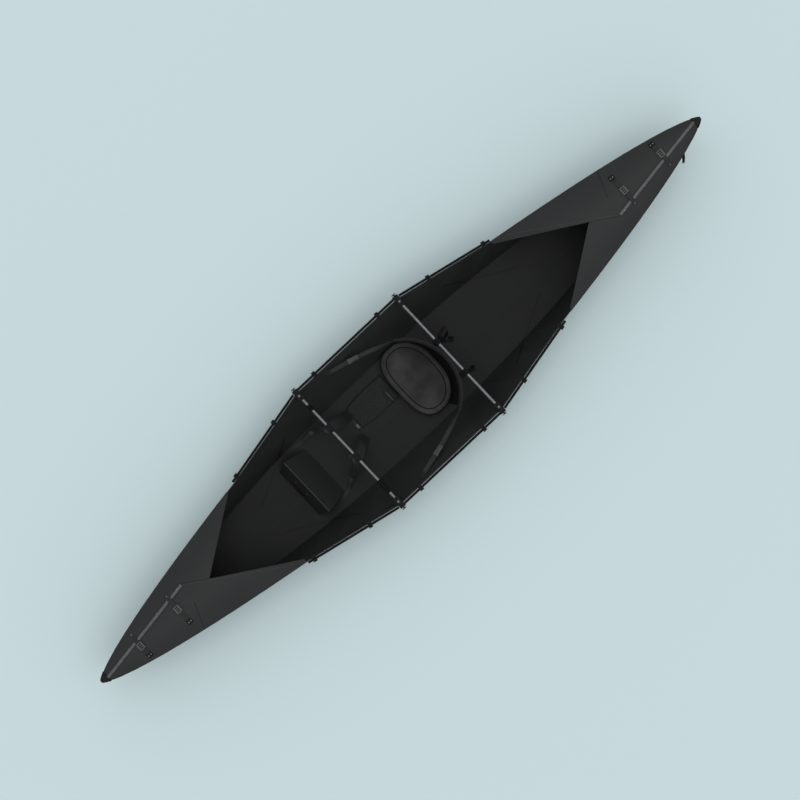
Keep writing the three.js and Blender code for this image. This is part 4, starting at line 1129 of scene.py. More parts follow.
    def edge_trim(self) -> None:
        """Lays the pale welt along the wide flap's free edge, from its root to the seam."""
        surface = Surface(f"deck_flap_over_{self.end.word}")
        spine = []
        for share in steps(self.edge_steps):
            along = mix(self.edge_start[0], self.edge_end[0], share)
            over = mix(self.edge_start[1], self.edge_end[1], share)
            found = surface.hit(*self.spot(along, over))
            if found:
                spine.append(found[0] + UP * (self.edge_thickness / 2))
        shape = ribbon(spine, self.edge_width, self.edge_thickness, ALONG)
        self.shop.piece(f"flap_welt_{self.end.word}", shape, "edge", Slot.SHEET, self.over_body)

    def gunwale(self, side: Side, start: float) -> list[Vector]:
        """The outer top edge of a side panel along this deck's root, from a place along the hull."""
        edge = outer_edge(f"side_panel_{side.word}")[::self.end.value]
        line = [place for place in edge if place.x * self.end.value >= 0]
        places = []
        for share in steps(self.crease_steps):
            along = mix(start, self.crease_stop, share)
            far = next(i for i, place in enumerate(line) if abs(place.x) > along)
            near, beyond = line[far - 1], line[far]
            part = (along - abs(near.x)) / (abs(beyond.x) - abs(near.x))
            places.append(near.lerp(beyond, part))
        return places

    def root_crease(self, lap: str) -> None:
        """Runs the creased edge along a flap's root.

        Args:
            lap: "over" for the wide flap, "under" for the narrow one.
        """
        side = Side(self.end.value if lap == "over" else -self.end.value)
        flap = f"deck_flap_{lap}_{self.end.word}"
        low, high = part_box(flap)
        line = self.gunwale(side, min(abs(low.x), abs(high.x)))
        first, last = line[0], line[-1]
        slope = (last.z - first.z) / (last.x - first.x)
        up = Vector((-slope, 0.0, 1.0)).normalized()
        height = self.crease_rise + self.crease_drop
        centre = (self.crease_rise - self.crease_drop) / 2
        out = ACROSS * (side.value * (self.crease_thickness / 2 + REST_GAP))
        spine = [place + out + up * centre for place in line]
        profile = [(2 * share - 1, 0.0 if share in (0.0, 1.0) else 1.0) for share in steps(self.crease_rows)]
        section = puffed_section(height, self.crease_thickness, profile)
        shape = sweep(spine, lambda share: up, lambda share: section)
        made = self.shop.piece(f"root_crease_{lap}_{self.end.word}", shape, flap, Slot.SHEET, None)
        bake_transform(made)

    def build(self) -> None:
        """Builds everything on this deck."""
        for lap in LAPS:
            self.root_crease(lap)
        for row in ("inner", "outer"):
            self.strap(row)
        self.seam_rivets()
        self.edge_trim()


@dataclass
class SeatPad:
    """The seat cushion with its border, two piping lines and crowned top, and a near-black sheet behind it
    that paints shade on the floor.
    """

    shop: Workshop
    centre: Pair = (-0.162, -0.031)
    half_width: float = 0.236
    half_depth: float = 0.147
    squareness: float = 3.0
    rear_taper_share: float = 0.25
    rear_taper_power: float = 1.5
    outline_points: int = 120
    level_steps: int = 30
    levels: tuple[Pair, ...] = (
        (0.000, 0.030), (0.010, 0.014), (0.026, 0.003), (0.036, 0.001), (0.045, 0.004),
        (0.050, 0.011), (0.051, 0.020), (0.050, 0.027), (0.0475, 0.031), (0.050, 0.036),
        (0.057, 0.056), (0.0615, 0.085), (0.0635, 0.115), (0.064, 0.142),
    )
    piping_inset: float = 0.031
    piping_radius: float = 0.0030
    piping_show_share: float = 0.3
    rim_inset: float = 0.0045
    rim_rise: float = 0.0405
    held_height: float = 0.012
    seam_hold: float = 0.0045
    hold_parts: int = 4
    fold_depth: float = 0.0022
    fold_length: float = 0.085
    fold_slants: Pair = (0.6, 0.4)
    cross_length_share: float = 2.3
    sheet_pivot_x: float = -0.0414
    sheet_reach: float = 0.309
    sheet_span_degrees: Pair = (-47.0, 57.0)
    sheet_tuck: float = 0.020
    sheet_rows: int = 12
    sheet_lift: float = 0.0022
    sheet_thickness: float = 0.0014

    def outline(self, inset: float) -> list[Pair]:
        """The pad's outline in plan, drawn in by a distance."""
        width, depth = self.half_width - inset, self.half_depth - inset
        power = 2 / self.squareness
        places = []
        for i in range(self.outline_points):
            angle = math.tau * (i + 0.5) / self.outline_points
            u = math.copysign(abs(math.cos(angle)) ** power, math.cos(angle))
            v = math.copysign(abs(math.sin(angle)) ** power, math.sin(angle))
            taper = 1 - self.rear_taper_share * max(0.0, -u) ** self.rear_taper_power
            places.append((self.centre[0] + depth * u, self.centre[1] + width * v * taper))
        return places

    def sag(self, x: float, y: float, inset: float) -> float:
        """How far the cover dips at a place, in soft folds that die out towards the border."""
        share = min(max((inset - self.piping_inset) / self.half_depth, 0.0), 1.0)
        slant, lean = self.fold_slants
        fold = math.sin(math.tau * (x + slant * y) / self.fold_length)
        cross = math.cos(math.tau * (lean * x - y) / (self.fold_length * self.cross_length_share))
        return share * self.fold_depth * (0.5 + 0.5 * fold * cross)

    def held(self, base: float) -> Callable[[Vector], bool]:
        """The test for places that the seams or the floor hold still.

        Args:
            base: The height that the cushion rests at.

        Returns:
            A function of a place on the cushion.
        """
        seam = [Vector((x, y, 0.0)) for x, y in self.outline(self.piping_inset)]
        sides = zip(seam, seam[1:] + seam[:1])
        dense = [a.lerp(b, share) for a, b in sides for share in steps(self.hold_parts)[:-1]]
        tree = KDTree(len(dense))
        for i, place in enumerate(dense):
            tree.insert(place, i)
        tree.balance()

        def test(place: Vector) -> bool:
            """Whether this place is held."""
            if place.z < base + self.held_height:
                return True
            distance = tree.find(Vector((place.x, place.y, 0.0)))[2]
            return distance < self.seam_hold and place.z > base + self.rim_rise

        return test

    def piping_place(self, tree: BVHTree, x: float, y: float, base: float, rise: float | None) -> Vector:
        """Where the piping's middle lies on the cushion.

        Args:
            tree: The cushion's surface.
            x: Place along the hull.
            y: Place across the hull.
            base: The height that the cushion rests at.
            rise: Height above the base for the piping round the side, or None for the one on top.

        Returns:
            The place, half sunk into the cover.
        """
        if rise is None:
            top = tree.ray_cast(Vector((x, y, base + Surface.start_height)), -UP)[0]
            return Vector((x, y, top.z + self.piping_radius * self.piping_show_share))
        centre = Vector((self.centre[0], self.centre[1], base + rise))
        outside = Vector((x, y, base + rise))
        inward = (centre - outside).normalized()
        start = outside - inward * self.half_depth
        side = tree.ray_cast(start, inward)[0]
        return side - inward * (self.piping_radius * self.piping_show_share)

    def base_sheet(self) -> None:
        """Builds a near-black sheet flat on the floor between the cushion and the backrest, which paints the
        shade there.
        """
        floor = Surface(*FLOOR, *WALLS)
        rays = []
        for x, y in self.outline(self.sheet_tuck):
            angle = math.atan2(y, self.sheet_pivot_x - x)
            if self.sheet_span_degrees[0] <= math.degrees(angle) <= self.sheet_span_degrees[1]:
                rays.append((angle, math.hypot(x - self.sheet_pivot_x, y)))
        shape = Shape()
        for angle, near in sorted(rays):
            row = []
            for share in steps(self.sheet_rows):
                reach = mix(near, self.sheet_reach, share)
                x, y = self.sheet_pivot_x - reach * math.cos(angle), reach * math.sin(angle)
                row.append(Vector((x, y, floor.height(x, y) + self.sheet_lift)))
            shape.points.extend(place + UP * self.sheet_thickness for place in row)
            shape.points.extend(reversed(row))
        shape.wrap(len(rays))
        # The near-black sheet paints the shade on the floor between the cushion and the backrest.
        made = self.shop.piece(
            "seat_base_sheet", shape, "dark_fabric_and_shade", Slot.CUSHION, HULL, (), ROUND_DEGREES,
        )

    def build(self) -> None:
        """Builds the cushion, its piping and the painted shade sheet behind it."""
        self.base_sheet()
        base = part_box("seat_pad")[0].z
        curve = Spline([Vector((height, inset, 0.0)) for height, inset in self.levels])
        shape = Shape()
        rings = curve.path(self.level_steps)
        for ring in rings:
            height, inset = ring.x, max(ring.y, 0.0)
            for x, y in self.outline(inset):
                shape.points.append(Vector((x, y, base + height - self.sag(x, y, inset))))
        shape.wrap(len(rings))
        pad = self.shop.piece(
            "seat_cushion", shape, "seat_fabric", Slot.CUSHION, HULL, ["seat_pad"], ROUND_DEGREES,
        )
        Inflation().puff(pad, self.held(base))
        tree = felt(pad.data)
        lines = Shape()
        for inset, rise in ((self.piping_inset, None), (self.rim_inset, self.rim_rise)):
            spine = [self.piping_place(tree, x, y, base, rise) for x, y in self.outline(inset)]
            lines.add(rod(spine, self.piping_radius, closed=True))
        self.shop.piece("seat_piping", lines, "piping", Slot.CUSHION, HULL, (), ROUND_DEGREES)


@dataclass
class Backrest:
    """The backrest band, hung on the stern crossbar, with its side straps and tails."""

    shop: Workshop
    centre_x: float = -0.0414
    radius: float = 0.318
    half_width: float = 0.275
    top: float = 0.308
    height: float = 0.188
    wing_height: float = 0.120
    wing_drop: float = 0.022
    thickness: float = 0.014
    band_steps: int = 64
    binding_radius: float = 0.0034
    binding_trim_share: float = 0.006
    binding_lean: float = 0.5
    profile: tuple[Pair, ...] = (
        (-1.0, 0.0), (-0.97, 0.30), (-0.90, 0.42), (-0.86, 0.34), (-0.78, 0.72), (-0.6, 0.92),
        (-0.36, 0.86), (-0.32, 0.62), (-0.28, 0.86), (0.0, 1.0), (0.28, 0.86), (0.32, 0.62),
        (0.36, 0.86), (0.6, 0.92), (0.78, 0.72), (0.86, 0.34), (0.90, 0.42), (0.97, 0.30), (1.0, 0.0),
    )
    loop_centre_y: float = 0.018
    loop_spacing: float = 0.118
    loop_width: float = 0.040
    loop_thickness: float = 0.0025
    loop_gap: float = 0.0006
    loop_steps: int = 24
    lug_reach: float = 0.010
    lug_drop: float = 0.0012
    lug_sink: Pair = (0.001, 0.0016)
    lug_steps: int = 8
    tail_length: float = 0.104
    tail_line: tuple[Triple, ...] = (
        (0.0, 0.0, 0.0), (0.002, 0.0, 0.3), (0.008, 0.002, 0.65), (0.003, 0.004, 1.0),
    )
    tail_steps: int = 18
    curls: tuple[tuple[Side, tuple[Triple, ...]], ...] = (
        (Side.STARBOARD, (
            (0.004, 0.000, 0.278), (0.024, -0.016, 0.288), (0.058, -0.030, 0.268), (0.082, -0.022, 0.224),
            (0.066, 0.004, 0.190), (0.030, 0.012, 0.196), (0.020, 0.004, 0.222),
        )),
        (Side.STARBOARD, (
            (0.006, 0.006, 0.262), (0.030, 0.036, 0.272), (0.062, 0.058, 0.246), (0.072, 0.050, 0.200),
            (0.052, 0.030, 0.176),
        )),
        (Side.PORT, (
            (0.004, 0.004, 0.276), (0.020, 0.022, 0.284), (0.042, 0.026, 0.258), (0.044, 0.012, 0.222),
            (0.026, 0.002, 0.206),
        )),
    )
    curl_steps: int = 36
    curl_width_share: float = 0.8
    slider_size: Triple = (0.006, 0.034, 0.024)
    slider_rounding: float = 0.0018
    slider_back: float = 0.0045
    slider_height: float = 0.247
    strap_width: float = 0.025
    strap_thickness: float = 0.0022
    strap_turn_share: float = 0.4
    strap_steps: int = 56
    strap_bow: Triple = (0.0, 0.008, -0.012)
    strap_gap: float = 0.0007
    wing_gap: Pair = (0.0008, 0.0012)
    blend_step: int = 26
    body: str = "backrest"

    @property
    def sweep_angle(self) -> float:
        """The angle from the middle to a wing."""
        return math.asin(self.half_width / self.radius)

    @staticmethod
    def wing_share(share: float) -> float:
        """How far towards the wings a place is."""
        return (2 * share - 1) ** 2

    def height_at(self, share: float) -> float:
        """The band's height at a share of its length."""
        return mix(self.height, self.wing_height, self.wing_share(share))

    def line(self, level: float, trim: float = 0.0) -> list[Vector]:
        """A line along the band.

        Args:
            level: 0 for its middle, 1 for its top edge, -1 for its lower edge.
            trim: Share left off at each wing.

        Returns:
            Places from the starboard wing to the port wing.
        """
        places = []
        for step in steps(self.band_steps):
            share = mix(trim, 1 - trim, step)
            angle = mix(-self.sweep_angle, self.sweep_angle, share)
            top = self.top - self.wing_drop * self.wing_share(share)
            z = top - self.height_at(share) * (1 - level) / 2
            x, y = self.centre_x - self.radius * math.cos(angle), self.radius * math.sin(angle)
            places.append(Vector((x, y, z)))
        return places

    def band(self) -> None:
        """Builds the padded band and the binding round its edge."""
        shape = sweep(
            self.line(0.0),
            lambda share: UP,
            lambda share: puffed_section(self.height_at(share), self.thickness, self.profile),
        )
        pad = self.shop.piece(
            "backrest_band", shape, "dark_fabric_and_shade", Slot.CUSHION, self.body, ["backrest"], SOFT_DEGREES,
        )
        level = 1 - 2 * self.binding_radius / self.height
        upper, lower = (self.line(height, self.binding_trim_share) for height in (level, -level))
        side = ALONG + UP * self.binding_lean
        binding = rod(upper + lower[::-1], self.binding_radius, side=side, closed=True)
        self.shop.piece("backrest_binding", binding, "binding", Slot.CUSHION, self.body, (), ROUND_DEGREES)

    def hanger(self, side: Side) -> None:
        """Builds one loop round the crossbar with its lug and its tail."""
        y = self.loop_centre_y + side.value * self.loop_spacing
        ring_radius = BAR_RADIUS + self.loop_gap + self.loop_thickness / 2
        centre = Vector((STERN_BAR_X, y, BAR_HEIGHT))
        ring = []
        for i in range(self.loop_steps):
            angle = math.tau * i / self.loop_steps
            ring.append(centre + Vector((math.cos(angle), 0.0, math.sin(angle))) * ring_radius)
        shape = ribbon(ring, self.loop_width, self.loop_thickness, closed=True)
        angle = math.asin(y / self.radius)
        rear_x = self.centre_x - (self.radius + self.thickness / 2) * math.cos(angle)
        lug = Spline([
            centre + Vector((0.0, 0.0, -ring_radius)),
            centre + Vector((self.lug_reach, 0.0, -ring_radius - self.lug_drop)),
            Vector((rear_x - self.lug_sink[0], y, BAR_HEIGHT - ring_radius - self.lug_sink[1])),
        ])
        tail = Spline([
            centre + Vector((-ring_radius - back, across, -self.tail_length * down))
            for back, across, down in self.tail_line
        ])
        for spine in (lug.path(self.lug_steps), tail.path(self.tail_steps)):
            shape.add(ribbon(spine, self.loop_width, self.loop_thickness))
        self.shop.piece(
            f"hanger_webbing_{side.word}", shape, "black_webbing", Slot.WEBBING, self.body,
            [f"hanger_loop_{side.word}"],
        )

    def loose_tails(self) -> None:
        """Builds the curled strap ends and the slider behind the starboard loop."""
        back = STERN_BAR_X - BAR_RADIUS - self.loop_gap - self.loop_thickness
        shape = Shape()
        section = strap_section(self.strap_width * self.curl_width_share, self.strap_thickness)
        for side, curl in self.curls:
            y = self.loop_centre_y + side.value * self.loop_spacing
            spine = Spline([Vector((back - dx, y + dy, z)) for dx, dy, z in curl]).path(self.curl_steps)
            shape.add(sweep(spine, lambda share: ACROSS + ALONG * share, lambda share: section))
        self.shop.piece("loose_tails", shape, "black_webbing", Slot.WEBBING, self.body)
        at = Vector((back - self.slider_back, self.loop_centre_y - self.loop_spacing, self.slider_height))
        slider = rounded_block(Vector(self.slider_size), self.slider_rounding).moved(Matrix.Translation(at))
        self.shop.piece("hanger_slider", slider, "buckle", Slot.BUCKLE, self.body)

    def side_strap(self, side: Side) -> None:
        """Builds one strap from a wing to the gunwale."""
        node = f"seat_strap_{side.word}"
        anchor_low, anchor_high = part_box(f"strap_anchor_{side.word}")
        edge = min(abs(anchor_low.y), abs(anchor_high.y))
        wing = self.line(0.0)[-1]
        start = Vector((wing.x + self.wing_gap[0], wing.y + self.wing_gap[1], wing.z))
        stop = Vector((
            (anchor_low.x + anchor_high.x) / 2,
            edge + self.strap_width / 2,
            anchor_low.z - self.strap_gap - self.strap_thickness / 2,
        ))
        middle = start.lerp(stop, 0.5) + Vector(self.strap_bow)
        section = strap_section(self.strap_width, self.strap_thickness)
        spine = Spline([start, middle, stop]).path(self.strap_steps)
        shape = sweep(
            spine,
            lambda share: UP.lerp(ACROSS, min(share / self.strap_turn_share, 1.0)),
            lambda share: section,
        )
        if side is Side.STARBOARD:
            shape = shape.moved(Matrix.Scale(-1.0, 4, ACROSS))
        made = self.shop.piece(
            f"side_strap_{side.word}", shape, "pale_webbing", Slot.WEBBING, None, [node],
        )
        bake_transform(made)

    def build(self) -> None:
        """Builds the backrest and everything that hangs on it."""
        self.band()
        for side in Side:
            self.hanger(side)
            self.side_strap(side)
        self.loose_tails()


@dataclass
class Route:
    """A shoulder strap's plan places: its root, where it crosses the bar, its end and its anchor."""

    root: Pair
    bar_y: float
    end: Pair
    anchor: Pair


@dataclass
class Harness:
    """The carrying harness: panel, handle, shoulder straps and chest straps."""

    shop: Workshop
    rear_x: float = -0.0108
    front_x: float = 0.2755
    centre_y: float = -0.106
    half_width: float = 0.087
    rear_share: float = 0.94
    front_taper_share: float = 0.2
    thickness: float = 0.012
    edge_thickness: float = 0.005
    binding_radius: float = 0.0028
    binding_drop_share: float = 0.3
    panel_steps: tuple[int, int] = (64, 44)
    panel_smooth_degrees: float = 50.0
    edge_shares: Pair = (0.06, 0.16)
    channel_shares: Pair = (-0.34, 0.34)
    channel_width_share: float = 0.035
    channel_depth: float = 0.0034
    cross_share: float = 0.52
    cross_width_share: float = 0.014
    cross_depth: float = 0.0026
    handle_feet: Pair = (0.009, 0.002)
    handle_rise_share: float = 0.6
    handle_shoulder: float = 0.002
    handle_steps: int = 48
    handle_sides: int = 14
    pad_width: float = 0.066
    pad_end_width: float = 0.048
    pad_thickness: float = 0.012
    pad_gap: float = 0.0008
    pad_profile: tuple[Pair, ...] = (
        (-1.0, 0.0), (-0.97, 0.34), (-0.88, 0.46), (-0.83, 0.36), (-0.72, 0.80), (-0.4, 0.98),
        (-0.12, 0.96), (0.0, 0.80), (0.12, 0.96), (0.4, 0.98), (0.72, 0.80), (0.83, 0.36),
        (0.88, 0.46), (0.97, 0.34), (1.0, 0.0),
    )
    pad_steps: int = 120
    pad_root_height: float = 0.032
    pad_end_height: float = 0.108
    # Each way point: its distance from the root or the bar, its share of the way across, its height.
    pad_rise: Triple = (0.034, 0.3, 0.070)
    pad_before_bar: Triple = (0.036, 0.85, 0.215)
    pad_after_bar: Triple = (0.034, 0.4, 0.215)
    ribbon_width: float = 0.014
    ribbon_thickness: float = 0.0012
    ribbon_span: Pair = (0.05, 0.95)
    ribbon_steps: int = 80
    heading_share: float = 0.004
    keeper_steps: tuple[int, ...] = (18, 62, 72)
    keeper_size: Triple = (0.026, 0.007, 0.0026)
    keeper_rounding: float = 0.001
    web_width: float = 0.020
    web_thickness: float = 0.002
    web_steps: int = 64
    web_heading_from: float = 0.995
    web_lead: float = 0.020
    # The webbing's landing: its distance before the anchor, its share of the way across, its lift.
    web_landing: Triple = (0.062, 0.75, 0.005)
    chest_width: float = 0.018
    chest_thickness: float = 0.0024
    chest_inset: float = 0.001
    chest_share: float = 0.66
    chest_steps: int = 24
    chest_turn: Triple = (0.012, 0.003, 0.002)
    chest_buckle_start: float = 0.56
    chest_buckle_steps: int = 16
    chest_buckle_half: float = 0.0045
    chest_buckle_width: float = 0.022
    chest_buckle_waist: float = 0.005
    chest_buckle_profile: tuple[Pair, ...] = (
        (1.0, 0.0), (0.9, 0.7), (0.5, 1.0), (0.0, 0.9), (-0.5, 1.0), (-0.9, 0.7), (-1.0, 0.0),
    )
    routes: dict[Side, Route] = field(default_factory=lambda: {
        Side.STARBOARD: Route((0.284, -0.140), -0.158, (0.488, -0.210), (0.650, -0.222)),
        Side.PORT: Route((0.298, 0.012), 0.066, (0.512, 0.128), (0.638, 0.187)),
    })

    def width_share(self, share: float) -> float:
        """The panel's width at a share of its length, as a share of its half width."""
        swell = mix(self.rear_share, 1.0, math.sin(math.pi * min(share, 0.5)))
        return swell - self.front_taper_share * max(0.0, 2 * share - 1) ** 2

    def panel_height(self, along: float, across: float) -> float:
        """The panel's thickness at shares of its length and half width, with its sewn channels."""
        end_share, side_share = self.edge_shares
        edge = min((1 - abs(across)) / side_share, min(along, 1 - along) / end_share, 1.0)
        swell = mix(self.edge_thickness, self.thickness, math.sin(max(edge, 0.0) * math.pi / 2))
        for channel in self.channel_shares:
            swell -= self.channel_depth * math.exp(-((across - channel) / self.channel_width_share) ** 2)
        cross = math.exp(-((along - self.cross_share) / self.cross_width_share) ** 2)
        return swell - self.cross_depth * cross

    def panel(self) -> None:
        """Builds the panel on the floor, with its binding."""
        floor = Surface(*FLOOR)
        rows, columns = self.panel_steps
        shape = Shape()
        for level in (0, 1):
            for along in steps(rows):
                x = mix(self.rear_x, self.front_x, along)
                half = self.half_width * self.width_share(along)
                for step in steps(columns):
                    across = 2 * step - 1
                    y = self.centre_y + across * half
                    z = floor.height(x, y) + REST_GAP + level * self.panel_height(along, across)
                    shape.points.append(Vector((x, y, z)))
        wide = columns + 1
        top = wide * (rows + 1)
        for i in range(rows):
            for k in range(columns):
                a = i * wide + k
                shape.faces.append((a, a + 1, a + wide + 1, a + wide))
                shape.faces.append((top + a, top + a + wide, top + a + wide + 1, top + a + 1))
        rim = [(end + k, end + k + 1) for end in (0, rows * wide) for k in range(columns)]
        rim += [(k + i * wide, k + (i + 1) * wide) for k in (0, columns) for i in range(rows)]
        shape.faces.extend((a, b, top + b, top + a) for a, b in rim)
        shape.lay_flat()
        made = self.shop.piece(
            "harness_pad", shape, "spacer", Slot.CUSHION, HULL, ["harness_panel"], self.panel_smooth_degrees,
        )
        self.panel_binding(shape.points[top:])

    def panel_binding(self, top: Sequence[Vector]) -> None:
        """Sews the binding round the panel's upper edge, in near-black cloth that paints the shadow line
        along the panel's sides.

        Args:
            top: The places of the panel's upper face, row by row.
        """
        rows, columns = self.panel_steps
        border = [(0, k) for k in range(columns + 1)] + [(i, columns) for i in range(1, rows + 1)]
        border += [(rows, k) for k in range(columns - 1, -1, -1)] + [(i, 0) for i in range(rows - 1, 0, -1)]
        centre = Vector((mix(self.rear_x, self.front_x, 0.5), self.centre_y, 0.0))
        drop = UP * self.binding_radius * self.binding_drop_share
        line = []
        for i, k in border:
            place = top[i * (columns + 1) + k]
            inward = Vector((centre.x - place.x, centre.y - place.y, 0.0)).normalized()
            line.append(place + inward * self.binding_radius - drop)
        binding = rod(line, self.binding_radius, closed=True)
        # The near-black binding paints the shadow that the raised panel casts along its edges.
        self.shop.piece("harness_binding", binding, "piping", Slot.CUSHION, HULL, (), ROUND_DEGREES)

    def handle(self) -> None:
        """Builds the rolled grab handle over the panel's rear edge."""
        low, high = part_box("harness_handle")
        radius = (high.x - low.x) / 2 - REST_GAP
        x = (low.x + high.x) / 2
        near, far, top = low.y + radius + REST_GAP, high.y - radius - REST_GAP, high.z - radius
        base_near, base_far = (low.z + rise for rise in self.handle_feet)
        spine = Spline([
            Vector((x, near, base_near)),
            Vector((x, near, mix(base_near, top, self.handle_rise_share))),
            Vector((x, near + 2 * radius, top - self.handle_shoulder)),
            Vector((x, (near + far) / 2, top - REST_GAP)),
            Vector((x, far - 2 * radius, top - self.handle_shoulder)),
            Vector((x, far, mix(base_far, top, self.handle_rise_share))),
            Vector((x, far, base_far)),
        ]).path(self.handle_steps)
        shape = rod(spine, radius, self.handle_sides, ALONG)
        self.shop.piece(
            "grab_handle", shape, "handle", Slot.WEBBING, HULL, ["harness_handle"], ROUND_DEGREES,
        )

    def pad_curve(self, route: Route) -> Spline:
        """The line that a shoulder pad follows from the panel over the bow crossbar."""
        radius = BAR_RADIUS + self.pad_thickness / 2 + self.pad_gap
        over = [
            Vector((
                BOW_BAR_X + radius * math.cos(math.radians(degrees)),
                route.bar_y,
                BAR_HEIGHT + radius * math.sin(math.radians(degrees)),
            ))
            for degrees in range(180, -1, -30)
        ]
        (root_x, root_y), bar_y, (end_x, end_y) = route.root, route.bar_y, route.end
        rise, before, after = self.pad_rise, self.pad_before_bar, self.pad_after_bar
        return Spline([
            Vector((root_x, root_y, self.pad_root_height)),
            Vector((root_x + rise[0], mix(root_y, bar_y, rise[1]), rise[2])),
            Vector((BOW_BAR_X - before[0], mix(root_y, bar_y, before[1]), before[2])),
            *over,
            Vector((BOW_BAR_X + after[0], mix(bar_y, end_y, after[1]), after[2])),
            Vector((end_x, end_y, self.pad_end_height)),
        ])

    def shoulder_strap(self, side: Side) -> None:
        """Builds one padded shoulder strap, the webbing and bars on it, and the webbing below it."""
        route = self.routes[side]
        curve = self.pad_curve(route)

        def section_at(share: float) -> Section:
            """The pad's section, narrower towards its far end."""
            width = mix(self.pad_width, self.pad_end_width, share)
            return puffed_section(width, self.pad_thickness, self.pad_profile)

        pad = sweep(curve.path(self.pad_steps), lambda share: ACROSS, section_at)
        made = self.shop.piece(
            f"shoulder_strap_{side.word}", pad, "fabric", Slot.CUSHION, HULL,
            [f"shoulder_pad_{side.word}"], SOFT_DEGREES,
        )
        self.keepers(side, curve)
        self.webbing(side, route, curve)

    def keepers(self, side: Side, curve: Spline) -> None:
        """Sews a narrow webbing along the pad's outer face, held down by keeper bars."""
        lift = self.pad_thickness / 2 + self.pad_gap
        centres = []
        for step in steps(self.ribbon_steps):
            share = mix(*self.ribbon_span, step)
            ahead = curve.at(min(share + self.heading_share, 1.0))
            heading = (ahead - curve.at(max(share - self.heading_share, 0.0))).normalized()
            side_way = (ACROSS - heading * ACROSS.dot(heading)).normalized()
            out = side_way.cross(heading)
            out = out if (out.z > 0 or out.x > 0) else -out
            centres.append((curve.at(share), out, side_way))
        spine = [centre + out * lift for centre, out, _ in centres]
        shape = ribbon(spine, self.ribbon_width, self.ribbon_thickness)
        self.shop.piece(f"pad_ribbon_{side.word}", shape, "webbing", Slot.WEBBING, HULL)
        bars = Shape()
        block = rounded_block(Vector(self.keeper_size), self.keeper_rounding)
        for k in self.keeper_steps:
            centre, out, side_way = centres[k]
            turn = Matrix((side_way, out.cross(side_way), out)).transposed().to_4x4()
            bars.add(block.moved(Matrix.Translation(centre + out * (lift + self.ribbon_thickness)) @ turn))
        self.shop.piece(f"keeper_bars_{side.word}", bars, "buckle", Slot.BUCKLE, HULL)

    def webbing(self, side: Side, route: Route, curve: Spline) -> None:
        """Builds the webbing from the pad's end down to the floor."""
        end = curve.at(1.0)
        heading = (end - curve.at(self.web_heading_from)).normalized()
        start = end + heading * self.pad_gap
        lead = start + heading * self.web_lead
        lie = REST_GAP + self.web_thickness / 2
        floor = Surface(*FLOOR)

        def floor_at(x: float, y: float) -> float:
            """The webbing's height where it lies on the floor."""
            far = y + math.copysign(self.web_width / 2, y)
            return floor.height(x, far) + lie

        x, y = route.anchor
        before, across, lift = self.web_landing
        landing = Vector((x - before, mix(start.y, y, across), 0.0))
        landing.z = floor_at(landing.x, landing.y) + lift
        middle = lead.lerp(landing, 0.5)
        fall = Spline([start, lead, middle, landing, Vector((x, y, floor_at(x, y)))])
        shape = ribbon(fall.path(self.web_steps), self.web_width, self.web_thickness)
        self.shop.piece(
            f"adjuster_webbing_{side.word}", shape, "pale_webbing", Slot.WEBBING, HULL,
            [f"shoulder_webbing_{side.word}"],
        )

    def chest_strap(self, side: Side) -> None:
        """Builds one half of the chest strap with its half of the buckle."""
        low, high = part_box(f"sternum_strap_{side.word}")
        half, inset = self.chest_buckle_half, self.chest_inset
        if side is Side.STARBOARD:
            x = (low.x + high.x) / 2
            start = Vector((x, low.y + inset, low.z + half))
            stop = Vector((x, high.y - inset, high.z - half))
            points = [start, start.lerp(stop, 0.5), stop]
        else:
            in_from_edge, bend, rise = self.chest_turn
            x = low.x + in_from_edge
            points = [
                Vector((x, high.y - bend, high.z - inset)),
                Vector((x + bend, (low.y + high.y) / 2, (low.z + high.z) / 2)),
                Vector((x, low.y + half, low.z + rise)),
            ]
        curve = Spline(points)
        spine = curve.path(self.chest_steps, 0.0, self.chest_share)
        shape = ribbon(spine, self.chest_width, self.chest_thickness, ALONG)
        self.shop.piece(
            f"chest_strap_{side.word}", shape, "pale_webbing", Slot.WEBBING, HULL,
            [f"sternum_strap_{side.word}"],
        )

        def section_at(share: float) -> Section:
            """The buckle's section, with a waist in its middle."""
            width = self.chest_buckle_width - self.chest_buckle_waist * math.sin(math.pi * share)
            return puffed_section(width, 2 * half, self.chest_buckle_profile)

        spine = curve.path(self.chest_buckle_steps, self.chest_buckle_start)
        buckle = sweep(spine, lambda share: ALONG, section_at)
        self.shop.piece(f"chest_buckle_{side.word}", buckle, "buckle", Slot.BUCKLE, HULL)

    def build(self) -> None:
        """Builds the whole harness."""
        self.panel()
        self.handle()
        for side in Side:
            self.shoulder_strap(side)
            self.chest_strap(side)


